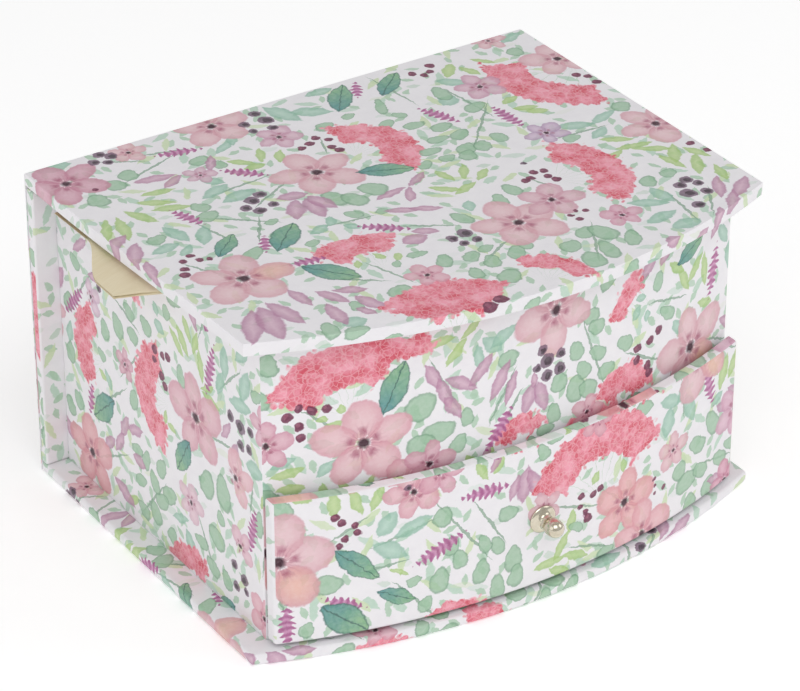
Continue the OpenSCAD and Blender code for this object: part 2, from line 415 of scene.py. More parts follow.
TOP_ART = PrintArt(
    blossoms=(
        Blossom(-78, -24, 17, 70, 5, odd="f0cdc0"), Blossom(-19, 27, 16, 95, 5), Blossom(17, -38, 16, 20, 5),
        Blossom(35, -31, 11.5, 60, 5, "ead0d6", "d5a3b4"), Blossom(-92, 66, 15, 30, 5, "e6c3ce", "cf92a8"),
        Blossom(97, 53, 13, 10, 5), Blossom(96, -6, 14, 40, 5), Blossom(62, 50, 9.5, 15, 5, "e8cfd9", "cf9db5"),
        Blossom(-28, -52, 7.5, 20, 5, "eccbd3", "dba3b4"), Blossom(48, -52, 7.5, 75, 5, "eac9d4", "d79db3"),
        Blossom(-16, 56, 8.5, 50, 5, "e9d0da", "cfa0b8"), Blossom(-31, 75, 14, 10, 5), Blossom(-64, 74, 7, 0, 5),
        Blossom(-52, 47, 6, 200, 5, "e9d3dc", "cda3b9"), Blossom(85, 78, 7, 0, 5),
        Blossom(61, 9, 8, 250, 5, "e3d3e2", "b99cbb"),
    ),
    fans=(
        Fan(-1, 31, 15.5, 13, 12, 78), Fan(44, -20, 19, 14, -4, 66), Fan(100, 47, 25, 14, 202, 56),
        Fan(-37, -42, 18.5, 12, 92, 44), Fan(-34, -88, 21, 19, 82, 48), Fan(2, -75, 13, 9, 38, 56),
        Fan(-78, -100, 17, 15, 80, 60),
    ),
    teal=(
        (-52, -6.5, 21, 10, 44), (-52.5, -35, 21, 10, -52), (17, 69, 21, 9, 54), (1, 16, 20, 9, -22),
        (-71, -1, 17, 7, 42), (37, 69, 19, 8, 42),
    ),
    sage=(
        (-89, 50, 9, 8, 80), (-79, 56, 8, 7, 100), (-72, 60, 8, 7, 60), (-47, 56, 8, 6, 20), (-43, 50, 7, 5, 100),
        (-64, 27, 8, 6, 120), (-65, 20, 9, 7, 20), (-87, 15, 8, 6, 30), (-24, 8, 12, 8, 100), (-19, 4, 11, 8, 110),
        (-10, 7, 11, 9, 130), (-50, 5, 6, 4, 20), (-25, -5, 7, 5, 130), (-16, -8, 5, 4, 10), (-47, -15, 6, 4, 20),
        (-67, -11, 12, 6, 35), (1, 54, 8, 6, 20), (12, 56, 6, 4, 10), (20, 44, 7, 5, 30), (27, 47, 6, 4, 140),
        (27, 38, 9, 5, 0), (34, 32, 9, 6, 10), (28, 25, 9, 5, 0), (36, 24, 9, 6, 30), (21, 19, 9, 5, 0),
        (32, 14, 9, 7, 40), (14, 12, 7, 5, 30), (30, 10, 8, 6, 60), (38, 13, 8, 6, 60), (46, 15, 8, 6, 100),
        (23, 12, 7, 5, 10), (52, 38, 10, 6, 20), (88, 66, 7, 6, 60), (94, 11, 8, 7, 30), (66, 1, 7, 5, 0),
        (69, -38, 8, 6, 50), (78, -37, 7, 5, 20), (-23, -39, 8, 4, 0), (-32, -41, 5, 3, 60), (-18, -47, 9, 6, 60),
        (-9, -49, 8, 6, 40), (-2, -47, 7, 4, 10), (-5, -55, 9, 6, 60), (-14, -59, 8, 5, 80), (3, -26, 10, 6, 110),
        (21, -22, 9, 5, 80), (28, -18, 9, 6, 100), (5, -54, 10, 6, 50), (10, -51, 8, 5, 90), (31, -55, 9, 6, 40),
        (36, -58, 12, 8, 110), (22, -60, 9, 7, 30), (23, -71, 11, 8, 80), (-6, -66, 10, 8, 40), (42, -66, 11, 6, 60),
        (31, -68, 13, 6, 80), (-41, -57, 10, 8, 30), (-58, -58, 7, 5, 80), (-73, -66, 10, 6, 80), (-66, -71, 9, 6, 0),
        (48, 53, 12, 6, 85), (25, 56, 12, 4, 68), (-7, -84, 8, 5, 30), (3, -88, 9, 5, 120), (33, -82, 10, 6, 60),
        (-98, -70, 10, 6, 100), (-56, -80, 9, 6, 20),
    ),
    mint=(
        (-54, 34, 14, 6, 20), (-49, 27, 15, 7, 10), (-51, 41, 10, 5, 130), (-80, 15, 15, 6, 100), (-88, 8, 12, 6, 10),
        (-73, 9, 14, 6, 60), (-83, 3, 9, 4, 40), (-6, 70, 18, 8, 110), (3, 66, 16, 7, 150), (13, 77, 12, 5, 0),
        (-40, -8, 10, 5, 20), (-34, -5, 7, 4, 60), (-30, -12, 7, 4, 140), (47, 47, 9, 8, 30), (56, 58, 12, 6, 140),
        (72, 8, 14, 6, 160), (84, 8, 14, 5, 20), (76, -1, 11, 5, 30), (60, -50, 15, 6, 150), (67, -48, 13, 6, 95),
        (58, -60, 14, 6, 10), (62, -68, 12, 7, 0), (-35, 60, 12, 4, 30), (-30, 63, 9, 4, 60), (10, -20, 8, 5, 60),
        (-64, -66, 9, 7, 0), (-90, 78, 14, 6, 0), (45, -83, 12, 6, 150), (93, 76, 12, 5, 20),
    ),
    lime=(
        (-72, 32, 14, 5, 160), (-83, 32, 15, 5, 115), (-92, 28, 18, 5, 75), (-97, 30, 16, 4, 65), (-70, 44, 13, 4, 170),
        (-74, 38, 14, 4, 150), (-36, 47, 11, 4, 135), (-28, 48, 11, 4, 65), (-23, 44, 10, 4, 60), (-34, 42, 9, 4, 0),
        (15, 2, 11, 4, 100), (22, 1, 12, 4, 60), (10, -6, 12, 4, 140), (26, -4, 10, 4, 40), (16, -9, 12, 4, 20),
        (-43, -35, 6, 3, 60), (-34, -34, 6, 3, 110), (-29, -37, 6, 3, 50), (65, 36, 9, 4, 20), (66, 28, 10, 4, 160),
        (68, 24, 9, 4, 150), (60, 66, 12, 5, 50), (66, 62, 10, 4, 110), (80, -15, 15, 4, 170), (84, -20, 14, 4, 150),
        (88, -27, 15, 5, 60), (90, -37, 15, 5, 60), (93, -46, 13, 4, 75), (70, -17, 12, 4, 20), (78, -8, 12, 4, 150),
        (84, -31, 13, 4, 100), (74, 66, 10, 3, 130), (95, -30, 12, 4, 110), (-84, -88, 12, 4, 60),
    ),
    mauve=(
        (-92, -52, 22, 8, 60), (-86, -53, 23, 9, 78), (-79, -50, 19, 7, 100), (-70, -44, 14, 5, 95),
        (-61, -49, 14, 5, 115),
        (-54, -48, 12, 5, 155), (-53, -58, 14, 6, 110), (-66, -59, 16, 6, 85), (-57, -62, 8, 4, 120),
        (-45, 52, 12, 4, 60),
        (-66, 53, 16, 5, 170), (-62, 48, 12, 4, 30), (-7, 1, 14, 4, 10), (-2, -3, 12, 4, 60), (6, 5, 12, 4, 30),
        (-10, -11, 14, 4, 155), (-3, -14, 12, 4, 150), (-18, -30, 11, 7, 0), (-12, -27, 10, 5, 150),
        (-35, 17, 12, 6, 170),
        (-39, 8, 15, 7, 60), (-33, 6, 16, 7, 85), (-29, 8, 14, 7, 110), (86, -54, 16, 5, 60), (92, -58, 16, 6, 40),
        (84, -64, 16, 5, 50), (75, -70, 12, 4, 60), (66, -76, 10, 4, 40), (52, -75, 7, 6, 20), (-100, 20, 16, 6, 30),
        (-98, 10, 18, 6, 60), (-100, -3, 16, 5, 70), (56, -14, 1, 1, 0), (9, -93, 8, 5, 60),
    ),
    lavender=(
        (-50, 65, 15, 5, -14), (-39, 40, 15, 5, -44), (-71, 23, 14, 5, -74), (-55, -25, 13, 4.5, -6),
        (-22, -18, 17, 5, -38), (-60, -7, 11, 4, 62), (38, 40, 16, 5, -68), (57, 26, 17, 5, -88), (25, 71, 11, 4, 64),
    ),
    berries=(
        (-84, -1, 1.7), (-88, -3, 1.6), (-83, -5, 1.4), (-90, -8, 1.7), (-92, -11.5, 1.8), (-80, -6, 1.2),
        (-14, 44.5, 1.7), (-10, 46, 1.8), (-6, 48.5, 1.6), (-3, 45, 1.6), (-5, 40, 1.6), (-4, 37, 1.8),
        (35.5, -15.5, 1.8), (41, -12, 1.6), (44.5, -13, 1.7), (43.5, -17, 1.5), (44.5, -20, 1.7), (38, -15, 1.4),
        (48, 71, 1.6), (51, 68, 1.6), (54, 69, 1.5), (56.5, 73, 1.8), (34, -43, 1.1), (37, -41.5, 1.1), (40, -43, 1.1),
        (35, -47, 1.3), (95, 39, 1.7), (98, 36, 1.7), (98, 31, 1.8), (97, -24, 1.6), (99, -31, 1.6),
        (-22, -79, 2.6), (-17, -77, 2.6), (-86, 57, 1.2),
    ),
    plums=(
        (-43, 24, 2.4), (-47.5, 21.5, 2.8), (-52, 18, 2.2), (-49, 14, 2.4), (-43, 15.5, 2.0), (-2, -35, 2.8),
        (-7.5, -36, 2.2), (-1, -40.5, 2.0), (-6, -40.5, 1.9), (-14, 75, 2.2), (-13, 69, 2.9), (-21, 70, 2.2),
        (-14, 63, 2.0), (-21, 64.5, 1.7), (75, -52, 3.0), (80, -44, 2.4), (76, -46, 2.4), (82, -48, 2.0),
        (81, -54, 2.2),
        (73, -60, 2.4), (-77, 74, 2.2), (-70, 75, 2.4), (-73, 78, 2.2), (-73, 71.5, 1.8), (42, -5, 1.2),
    ),
    stems=(
        (-85, -12, 20, 118), (-69, 8, 24, 100), (-7, 42, 12, 70), (-57, -24, 20, 170), (-56, 3, 22, 58),
        (46, 26, 40, 48),
        (-10, -24, 24, 150), (52, 42, 30, 95), (-37, -45, 22, 108), (39, -20, 14, 110), (-40, 22, 24, 30),
        (-58, 12, 30, 140),
        (-48, -44, 22, 145), (-55, 68, 22, 165), (78, -60, 22, 58), (68, -58, 26, 82), (35, 64, 30, 96),
        (-70, 70, 20, 150),
        (-45, 33, 26, 5), (70, 3, 26, 175), (-30, -8, 24, 172), (0, -50, 22, 30), (30, -62, 30, 60), (-64, 60, 30, 20),
    ),
)
FRONT_ART = PrintArt(
    blossoms=(
        Blossom(-60, 73, 16.5, 20, 5, "f0d4d7", "dda5b3"), Blossom(-90, 77, 9, 15, 5, "eac9d2", "d295ac"),
        Blossom(8, 103, 16, 50, 5), Blossom(71, 64, 17, 30, 5, odd="f3cfc4"), Blossom(-90, 37, 18, 10, 5, odd="f1cabc"),
        Blossom(-47, 55, 10, 35, 5, "efcfd4", "d99eae"), Blossom(35, 23, 13.5, 80, 5, "f1c9c9", "dfa0a8"),
        Blossom(58, 33, 7.5, 15, 5), Blossom(44, 6, 14, 20, 5, "f2cfd2", "e0a6b1"),
        Blossom(1, 34, 7, 40, 5, "efd3d8", "dcb0bc"),
        Blossom(-38, 60, 9, 80, 5, "e9c7d0", "d59cb0"), Blossom(22, 60, 7, 0, 5, "eccdd4", "d8a3b3"),
        Blossom(92, 33, 11, 60, 5, "ecd0dc", "d3a3bb"), Blossom(88, 6, 9, 30, 5, "eac2d0", "d089a6"),
    ),
    fans=(
        Fan(-64, 84, 19.5, 15, 106, 58), Fan(50, 88, 15, 8, 142, 34), Fan(38, 58, 9, 10, 85, 80),
        Fan(24, 30, 23, 14, 92, 68),
        Fan(-32, -5, 11, 8, 90, 60), Fan(-5, 57, 8, 8, 95, 66), Fan(-45, 116, 12, 8, 250, 60),
    ),
    teal=(
        (-50, 91, 20, 9.5, 68), (-66, 32, 20, 8, -44), (-70, 12, 20, 11, -38), (-53, 17, 15, 6, -25),
        (-95, 14, 8, 7, 90),
        (69, 102, 15, 7, 25),
    ),
    sage=(
        (-92, 94, 9, 6, 120), (-89, 106, 9, 6, 100), (-41, 82, 12, 10, 40), (-35, 71, 13, 8, 10), (-41, 68, 11, 8, 0),
        (-25, 74, 7, 5, 100), (-28, 65, 8, 6, 60), (-46, 106, 7, 5, 120), (-10, 91, 8, 7, 20), (22, 96, 9, 6, 170),
        (25, 91, 8, 6, 160), (17, 85, 8, 6, 110), (26, 81, 8, 6, 150), (20, 77, 8, 6, 120), (30, 73, 8, 6, 10),
        (10, 76, 8, 7, 90), (17, 71, 11, 8, 100), (22, 69, 9, 7, 150), (8, 65, 8, 6, 100), (38, 80, 8, 6, 150),
        (53, 97, 8, 5, 80), (30, 106, 8, 5, 30), (58, 83, 9, 5, 140), (46, 101, 5, 3, 10), (-13, 37, 8, 6, 0),
        (-37, 43, 8, 7, 80), (-22, 28, 8, 5, 110), (-31, 25, 8, 6, 100), (-23, 18, 10, 6, 80), (-17, 26, 8, 5, 110),
        (-11, 19, 11, 7, 90), (-38, 19, 11, 7, 80), (-43, 11, 7, 5, 60), (-17, 10, 10, 6, 90), (-47, 21, 6, 4, 20),
        (-10, 12, 9, 6, 80), (-75, 26, 10, 8, 0), (-82, 10, 7, 5, 70), (-34, 31, 8, 6, 80), (27, 7, 8, 5, 10),
        (71, 29, 10, 7, 150), (62, 23, 8, 7, 60), (66, 17, 12, 8, 10), (73, 18, 9, 6, 150), (68, 7, 9, 7, 90),
        (78, 9, 9, 7, 60), (84, 17, 9, 6, 150), (79, 34, 12, 7, 120), (43, 56, 9, 6, 0), (0, 56, 7, 5, 110),
        (14, 22, 7, 4, 150), (-89, 57, 9, 6, 120), (-95, 55, 8, 6, 60), (5, 60, 8, 4, 0), (90, 20, 8, 5, 160),
    ),
    mint=(
        (-56, 45, 11, 7, 55), (-47, 42, 15, 6, 20), (-55, 35, 14, 7, 150), (-92, 62, 12, 5, 120), (-96, 88, 8, 5, 40),
        (-16, 98, 10, 6, 140), (-21, 95, 10, 4, 100), (-12, 100, 12, 5, 30), (-85, 70, 9, 4, 20), (-74, 75, 10, 4, 0),
        (-72, 66, 9, 4, 40), (55, 45, 12, 7, 80), (66, 46, 14, 6, 110), (56, 53, 12, 6, 160), (62, 55, 11, 4, 60),
        (50, 110, 14, 6, 160), (62, 110, 12, 5, 20), (91, 90, 12, 5, 95), (87, 100, 11, 5, 120), (64, 75, 9, 5, 130),
        (-57, 56, 8, 3, 130), (43, 89, 6, 4, 60), (45, 94, 5, 3, 0), (48, 86, 5, 3, 80), (81, 42, 8, 4, 30),
    ),
    lime=(
        (-35, 104, 12, 4, 10), (-29, 99, 12, 4, 50), (-24, 106, 10, 3, 40), (-84, 66, 12, 4, 15), (-83, 60, 10, 4, 0),
        (-70, 81, 8, 4, 20), (-67, 87, 4, 3, 90), (-73, 84, 4, 3, 0), (72, 94, 12, 4, 50), (66, 92, 12, 4, 120),
        (77, 91, 14, 4, 95), (62, 98, 10, 4, 140), (78, 78, 9, 4, 160), (3, 12, 13, 4, 5), (8, 17, 12, 4, 60),
        (14, 11, 12, 4, 160), (8, 7, 12, 4, 150), (12, 25, 10, 4, 80), (84, 51, 14, 5, 75), (90, 52, 12, 5, 60),
        (78, 56, 12, 4, 120), (-66, 56, 12, 4, 110), (-59, 56, 12, 4, 65), (-73, 56, 10, 5, 90), (-23, 56, 9, 4, 120),
        (-17, 57, 8, 4, 60), (22, 38, 6, 3, 60), (34, 38, 6, 3, 100), (8, 3, 10, 4, 20), (-52, 26, 8, 2, 150),
    ),
    mauve=(
        (-37, 92, 12, 5, 118), (-33, 85, 14, 5, 112), (-27, 87, 14, 5, 150), (-30, 79, 12, 5, 125),
        (-20, 90, 14, 5, 50),
        (-13, 84, 16, 5, 62), (-9, 80, 14, 4, 70), (-2, 74, 13, 6, 70), (3, 73, 13, 6, 105), (0, 80, 6, 3, 90),
        (-7, 46, 15, 7, 80), (-3, 45, 14, 6, 115), (-11, 46, 11, 4, 70), (48, 104, 10, 5, 50), (56, 106, 9, 5, 60),
        (82, 104, 8, 4, 60), (90, 108, 10, 5, 30), (92, 64, 12, 5, 150), (-18, 58, 8, 3, 60), (86, 37, 12, 5, 160),
        (92, 40, 12, 5, 150), (82, 10, 10, 4, 170), (-81, -2, 8, 4, 20), (18, 25, 3, 3, 0),
    ),
    lavender=(
        (-13, 66, 16, 5, 56), (82, 88, 18, 5, 80), (-22, 48, 17, 5, 0), (-38, 31, 18, 5.5, 24), (-88, 13, 15, 5, 90),
        (-70, 18, 14, 4, -24), (76, 50, 18, 5, -72),
    ),
    berries=(
        (-83.5, 86.5, 1.8), (-80, 89.5, 1.5), (-76, 88, 1.8), (-71.5, 88, 1.8), (-80, 82.5, 1.6), (-79.5, 78.5, 1.6),
        (44, 75.5, 1.8), (50, 76, 1.7), (54, 78, 1.7), (44, 71, 1.7), (49, 67, 1.8), (50, 64, 1.8), (-72.5, 51, 1.6),
        (-70.5, 48.5, 1.4), (-66.5, 47, 1.5), (-65.5, 44, 1.5), (-69.5, 42.5, 1.5), (-71.5, 40, 1.3), (16, 33, 1.6),
        (21, 32, 1.5), (24, 33, 1.6), (15.5, 29, 1.3), (19, 23.5, 1.9), (18, 26, 1.3), (49, 26, 0.9), (49.5, 20, 0.9),
        (54, 20.5, 1.0), (49.5, 23, 0.9),
    ),
    plums=(
        (3, 90, 2.0), (5, 85.5, 2.8), (10.5, 86.5, 2.0), (5, 80, 2.2), (10, 81, 2.4), (1, 84, 1.6), (-49, 57, 1.4),
        (84, 4, 1.6),
    ),
    stems=(
        (-74, 84, 16, 138), (-33, 88, 26, 116), (-12, 78, 24, 62), (-8, 73, 14, 58), (24, 82, 34, 110),
        (47, 71, 22, 150),
        (-47, 63, 12, 140), (-68, 46, 16, 30), (-50, 40, 26, 15), (-58, 29, 20, 5), (-45, 12, 30, 130),
        (-30, 36, 40, 126),
        (-20, 36, 26, 122), (14, 30, 24, 162), (30, 28, 14, 140), (82, 18, 22, 165), (62, 51, 18, 100),
        (-90, 24, 14, 100),
        (58, 88, 22, 165), (86, 60, 20, 155), (20, 12, 20, 160),
    ),
)
SIDE_ART = PrintArt(
    blossoms=(
        Blossom(-14, 67, 16.5, 80, 5, "edced4", "d9a3b3"), Blossom(-38, 57, 11, 90, 3, "f1d3d8", "e2b3be"),
        Blossom(58, 16, 15, 10, 5, "eec6c8", "dc9ea8"), Blossom(32, 64, 6, 20, 5, "ebcdd6", "d095ab"),
        Blossom(-40, 32, 8, 60, 3, "eed3db", "dcb0c2"), Blossom(-9, 32, 8, 250, 5, "efd9e0", "dab9c9"),
        Blossom(54, 79, 7, 80, 3, "eddbe4", "d3b5cc"), Blossom(-54, 12, 9, 40, 5, "f1cfd6", "e0a8b8"),
        Blossom(82, 62, 10, 20, 5), Blossom(-56, 84, 8, 10, 5, "ebccd5", "d5a0b4"),
    ),
    fans=(
        Fan(4, 63, 15, 12, -6, 80), Fan(46, 58, 15, 11, 4, 62), Fan(-10, -6, 16, 9, 70, 50),
        Fan(20, 100, 6, 5, -30, 60),
    ),
    teal=((-5, 48, 18, 9, -60), (48, 39, 20, 10, -42), (-30, 3, 14, 7, -30), (80, 90, 14, 7, -50)),
    sage=(
        (-30, 47, 14, 9, 80), (-20, 45, 12, 9, 110), (-25, 27, 11, 8, 20), (-15, 20, 9, 5, 0), (-22, 14, 9, 6, 20),
        (-31, 14, 8, 6, 60), (10, 35, 9, 6, 120), (20, 33, 9, 5, 110), (5, 27, 10, 7, 150), (10, 22, 10, 6, 150),
        (15, 27, 9, 6, 60), (24, 23, 8, 5, 160), (4, 12, 7, 6, 120), (15, 15, 10, 7, 60), (23, 12, 9, 6, 20),
        (17, 86, 8, 6, 30), (28, 86, 8, 5, 30), (26, 78, 8, 6, 20), (36, 77, 10, 7, 60), (45, 71, 8, 6, 80),
        (27, 53, 9, 6, 100), (-5, 78, 9, 5, 80), (26, 34, 8, 5, 0), (-28, 36, 6, 5, 80), (-52, 94, 7, 5, 150),
        (38, 65, 6, 4, 60), (48, 60, 6, 4, 40), (64, 88, 8, 5, 30), (70, 70, 8, 6, 110), (66, 33, 8, 6, 60),
        (70, 50, 9, 6, 90),
        (72, 28, 9, 6, 60), (-52, 47, 11, 5, 95), (-58, 28, 9, 5, 60), (3, 98, 6, 5, 60), (-4, 106, 14, 6, 160),
    ),
    mint=(
        (-45, 94, 14, 7, 110), (-33, 97, 13, 6, 90), (-42, 86, 14, 6, 170), (-30, 88, 11, 5, 110), (-50, 66, 11, 7, 0),
        (-8, 15, 12, 6, 60), (-2, 22, 12, 4, 160), (8, 90, 7, 5, 20), (10, 96, 6, 4, 60), (70, 58, 10, 5, 100),
        (-44, 105, 12, 5, 140), (-12, 38, 4, 3, 0), (60, 104, 12, 5, 30), (34, 100, 12, 5, 60), (44, 52, 8, 4, 60),
    ),
    lime=(
        (-15, 95, 11, 4, 110), (-18, 88, 12, 4, 80), (-7, 92, 12, 4, 50), (-3, 90, 12, 4, 40), (-10, 98, 10, 4, 60),
        (-24, 78, 12, 4, 10), (-22, 82, 10, 3, 150), (2, 55, 6, 3, 20), (6, 57, 6, 3, 100), (48, 52, 6, 3, 30),
        (33, 94, 10, 4, 130), (40, 96, 12, 4, 60), (-56, 58, 10, 4, 120), (30, 12, 10, 4, 150), (78, 40, 10, 4, 60),
    ),
    mauve=(
        (-33, 72, 10, 4, 130), (-38, 66, 10, 5, 110), (27, 41, 12, 5, 160), (34, 39, 12, 5, 120), (25, 30, 9, 5, 10),
        (38, 31, 12, 5, 120), (45, 27, 10, 5, 140), (36, 12, 16, 6, 20), (-60, 70, 12, 5, 40), (74, 18, 10, 5, 60),
        (60, 96, 14, 4, 140), (50, 88, 12, 4, 170), (-14, 104, 10, 4, 60), (76, 76, 14, 6, 120),
    ),
    lavender=((-24, 90, 19, 5, -74), (-48, 42, 17, 5, -78), (66, 72, 18, 5, -48), (57, 38, 13, 4, -80),
        (-23, 107, 9, 4, -70)),
    berries=((3, 81, 1.8), (6.5, 80, 1.5), (11.5, 80, 1.7), (12, 76, 1.4), (7.5, 72, 1.9), (5.5, 69, 1.8),
        (-58, 79, 1.5)),
    plums=(
        (-42, 78, 2.8), (-36, 79, 2.2), (-48, 79, 1.8), (-42, 71, 2.2), (-47, 72, 1.8), (-42, 20, 2.4), (-36, 23, 2.0),
        (-37, 15, 2.0), (-43, 16, 1.6), (48, 85, 1.6), (42, 106, 1.6),
    ),
    stems=(
        (-40, 62, 18, 80), (-30, 66, 14, 170), (-36, 92, 22, 135), (44, 22, 30, 150), (16, 20, 30, 130),
        (60, 80, 30, 130),
        (-48, 55, 16, 100), (28, 66, 26, 130), (-18, 22, 22, 60), (-55, 36, 20, 100), (40, 48, 24, 140),
        (8, 76, 12, 60),
        (30, 84, 20, 20), (-20, 105, 16, 110),
    ),
)


@dataclass(frozen=True)
class PrintedPaper:
    """Thin printed paper with watercolour flowers, slightly glossy."""

    name: str
    art: PrintArt
    window: tuple[float, float, float, float]
    ground: str = "f0eef1"
    depth: float = 1.42
    edge: float = 4.5
    batch: int = 9
    wander: float = 2.0

    def _layers(self) -> list[tuple]:
        """The kinds of motif in the order that they are painted, each with those that reach the window.

        Returns:
            Pairs of a painting method and what it paints.
        """
        art = self.art
        kinds = [
            (self._stem, art.stems, 0.5), (self._mint, art.mint, 0.5), (self._lime, art.lime, 0.5),
            (self._sage, art.sage, 0.6), (self._mauve, art.mauve, 0.5), (self._fan, art.fans, 1.0),
            (self._lavender, art.lavender, 0.5), (self._blossom, art.blossoms, 1.1), (self._teal, art.teal, 0.5),
            (self._berry, art.berries, 1.0), (self._plum, art.plums, 1.0),
        ]
        return [(paint, [m for m in motifs if self._reaches(m, share)]) for paint, motifs, share in kinds]

    def _reaches(self, motif: object, share: float) -> bool:
        """Whether any of a motif is in the window.

        Args:
            motif: The motif; a plain one's third number is its size.
            share: How much of its size it reaches from its centre.

        Returns:
            True if it may show.
        """
        if isinstance(motif, Fan):
            x, y, reach = motif.x, motif.y, motif.r + motif.thick / 2
        elif isinstance(motif, Blossom):
            x, y, reach = motif.x, motif.y, motif.r * share
        else:
            x, y, reach = motif[0], motif[1], motif[2] * share
        reach += self.wander
        left, low, right, high = self.window
        return left - reach < x < right + reach and low - reach < y < high + reach

    def make(self) -> bpy.types.Material:
        """Builds the material.

        Returns:
            The material.
        """
        dish = Dish(self.name)
        flat = dish.vector("SCALE", dish.uv(), None, None, 1 / MM)
        wave = dish.noise(flat, 0.32, 3.0, 0.6)
        shift = dish.vector("MULTIPLY_ADD", wave.outputs[1], (2.4, 2.4, 0.0), (-1.2, -1.2, 0.0))
        flat = dish.vector("MULTIPLY", dish.vector("ADD", flat, shift), (1.0, 1.0, 0.0))
        wash = Val(dish, dish.noise(flat, 0.16, 4.0, 0.62).outputs[0])
        colour = dish.mix(wash.fma(1.2, -0.35, clamp=True), srgb(self.ground), srgb("f8f7f8"))
        colour, last = self._ghosts(dish, flat, colour)
        floret = dish.cells(flat, 0.42, "F1")
        lines = dish.cells(flat, 0.55, "DISTANCE_TO_EDGE")
        light = Val(dish, lines.outputs["Distance"]).fma(-7.0, 0.8, clamp=True) * wash
        coral = dish.mix(wash.fma(4.0, -1.5, clamp=True), srgb("f6b4c3"), srgb("e0677c"))
        coral = dish.mix(light, coral, srgb("fbe3e6"))
        # The motifs' coordinates come after the textures, so that few values are held at a time.
        settled = dish.vector("SCALE", flat, None, None, last.fma(1e-7, 1.0))
        for paint, motifs in self._layers():
            for first in range(0, len(motifs), self.batch):
                layer = Layer(f"{self.name}_{paint.__name__.strip('_')}")
                over = layer.under
                for motif in motifs[first : first + self.batch]:
                    over = paint(layer, layer.flat, over, motif)
                node = dish.add(
                    "ShaderNodeGroup", {"node_tree": layer.close(over)},
                    settled, colour, wash, coral, floret.outputs["Distance"],
                )
                colour = node.outputs[0]
        shade = Val(dish, dish.noise(flat, 0.7, 3.0, 0.6).outputs[0])
        colour = dish.mix(shade.fma(0.4, -0.15, clamp=True), colour, srgb("f8f6f7"))
        colour = dish.add("ShaderNodeGamma", {}, colour, self.depth).outputs[0]
        fibre = Val(dish, dish.noise(dish.place(), 1400.0, 3.0, 0.7).outputs[0])
        cockle = Val(dish, dish.noise(dish.place(), 42.0, 2.0, 0.5).outputs[0])
        relief = cockle.fma(0.75, fibre * 0.25)
        return dish.surface(
            Base_Color=colour,
            Roughness=fibre.fma(0.16, 0.36),
            Specular_IOR_Level=0.42,
            Normal=dish.bump(relief, 0.35, 0.0006),
        )

    def _local(
        self, dish: Dish, flat: object, x: float, y: float, rx: float, ry: float, turn: float
    ) -> tuple[Val, Val]:
        """The place along and across a motif, from its centre, in its own half lengths."""
        c, s = math.cos(math.radians(turn)), math.sin(math.radians(turn))
        away = dish.vector("SUBTRACT", flat, (x, y, 0.0))
        return (
            dish.length("DOT_PRODUCT", away, (c / rx, s / rx, 0.0)),
            dish.length("DOT_PRODUCT", away, (-s / ry, c / ry, 0.0)),
        )

    def _ghosts(self, dish: Dish, flat: object, colour: object) -> tuple:
        """Adds faint leaves and stems in the gaps.

        Args:
            dish: The node builder.
            flat: The print coordinates.
            colour: The colour so far.

        Returns:
            The colour with them, and the last of their masks.
        """
        sizes = ((0.105, 0.50, 0.17, "c9dfd0"), (0.15, 0.42, 0.2, "c0d8c4"), (0.085, 0.44, 0.12, "d9e6c6"))
        for scale, long, wide, tint in sizes:
            cell = dish.add(
                "ShaderNodeTexVoronoi", {"voronoi_dimensions": "2D"}, Vector=flat, Scale=scale, Randomness=0.85
            )
            away = dish.vector("SUBTRACT", flat, cell.outputs["Position"])
            away = dish.vector("SCALE", away, None, None, scale)
            turned = dish.add("ShaderNodeVectorRotate", {"rotation_type": "Z_AXIS"}, Vector=away)
            spin = dish.length("DOT_PRODUCT", cell.outputs["Color"], (1.0, 0.0, 0.0)) * math.tau
            dish.tree.links.new(spin.socket, turned.inputs["Angle"])
            along, across = dish.pair(turned.outputs[0])
            along, across = along * (1 / long), abs(across) * (1 / wide)
            mask = (along * along + across).fma(-self.edge, self.edge, clamp=True)
            some = spin.fma(9.0 / math.tau, -4.4, clamp=True)
            mask = mask * some
            colour = dish.mix(mask * 0.85, colour, srgb(tint))
        return colour, mask

    def _leaf(
        self, dish: Layer, flat: object, colour: object, leaf: tuple, pale: str, deep: str, strength: float
    ) -> object:
        """Adds a pointed leaf, deeper towards its rim.

        Args:
            dish: The node builder.
            flat: The print coordinates.
            colour: The colour so far.
            leaf: Centre, length, width and turn.
            pale: Its colour inside.
            deep: Its colour at the rim.
            strength: How much it covers.

        Returns:
            The colour with it.
        """
        x, y, long, wide, turn = leaf
        along, across = self._local(dish, flat, x, y, long / 2, wide / 2, turn)
        rim = along.fma(along, abs(across))
        hue = dish.mix(rim, srgb(pale), srgb(deep))
        return dish.mix(rim.fma(-self.edge, self.edge).least(strength), colour, hue)

    def _sage(self, dish: Layer, flat: object, colour: object, leaf: tuple) -> object:
        """Adds a round drop-shaped leaf with a darker rim.

        Args:
            dish: The node builder.
            flat: The print coordinates.
            colour: The colour so far.
            leaf: Centre, length, width and turn.

        Returns:
            The colour with it.
        """
        x, y, long, wide, turn = leaf
        along, across = self._local(dish, flat, x, y, long / 2, wide / 2, turn)
        rim = (across * across).fma(along.fma(0.45, 1.0).most(0.35), along * along)
        hue = dish.mix(rim.fma(2.4, -1.3), srgb("b2d0b7"), srgb("7fa78b"))
        return dish.mix(rim.fma(-self.edge, self.edge).least(0.82), colour, hue)

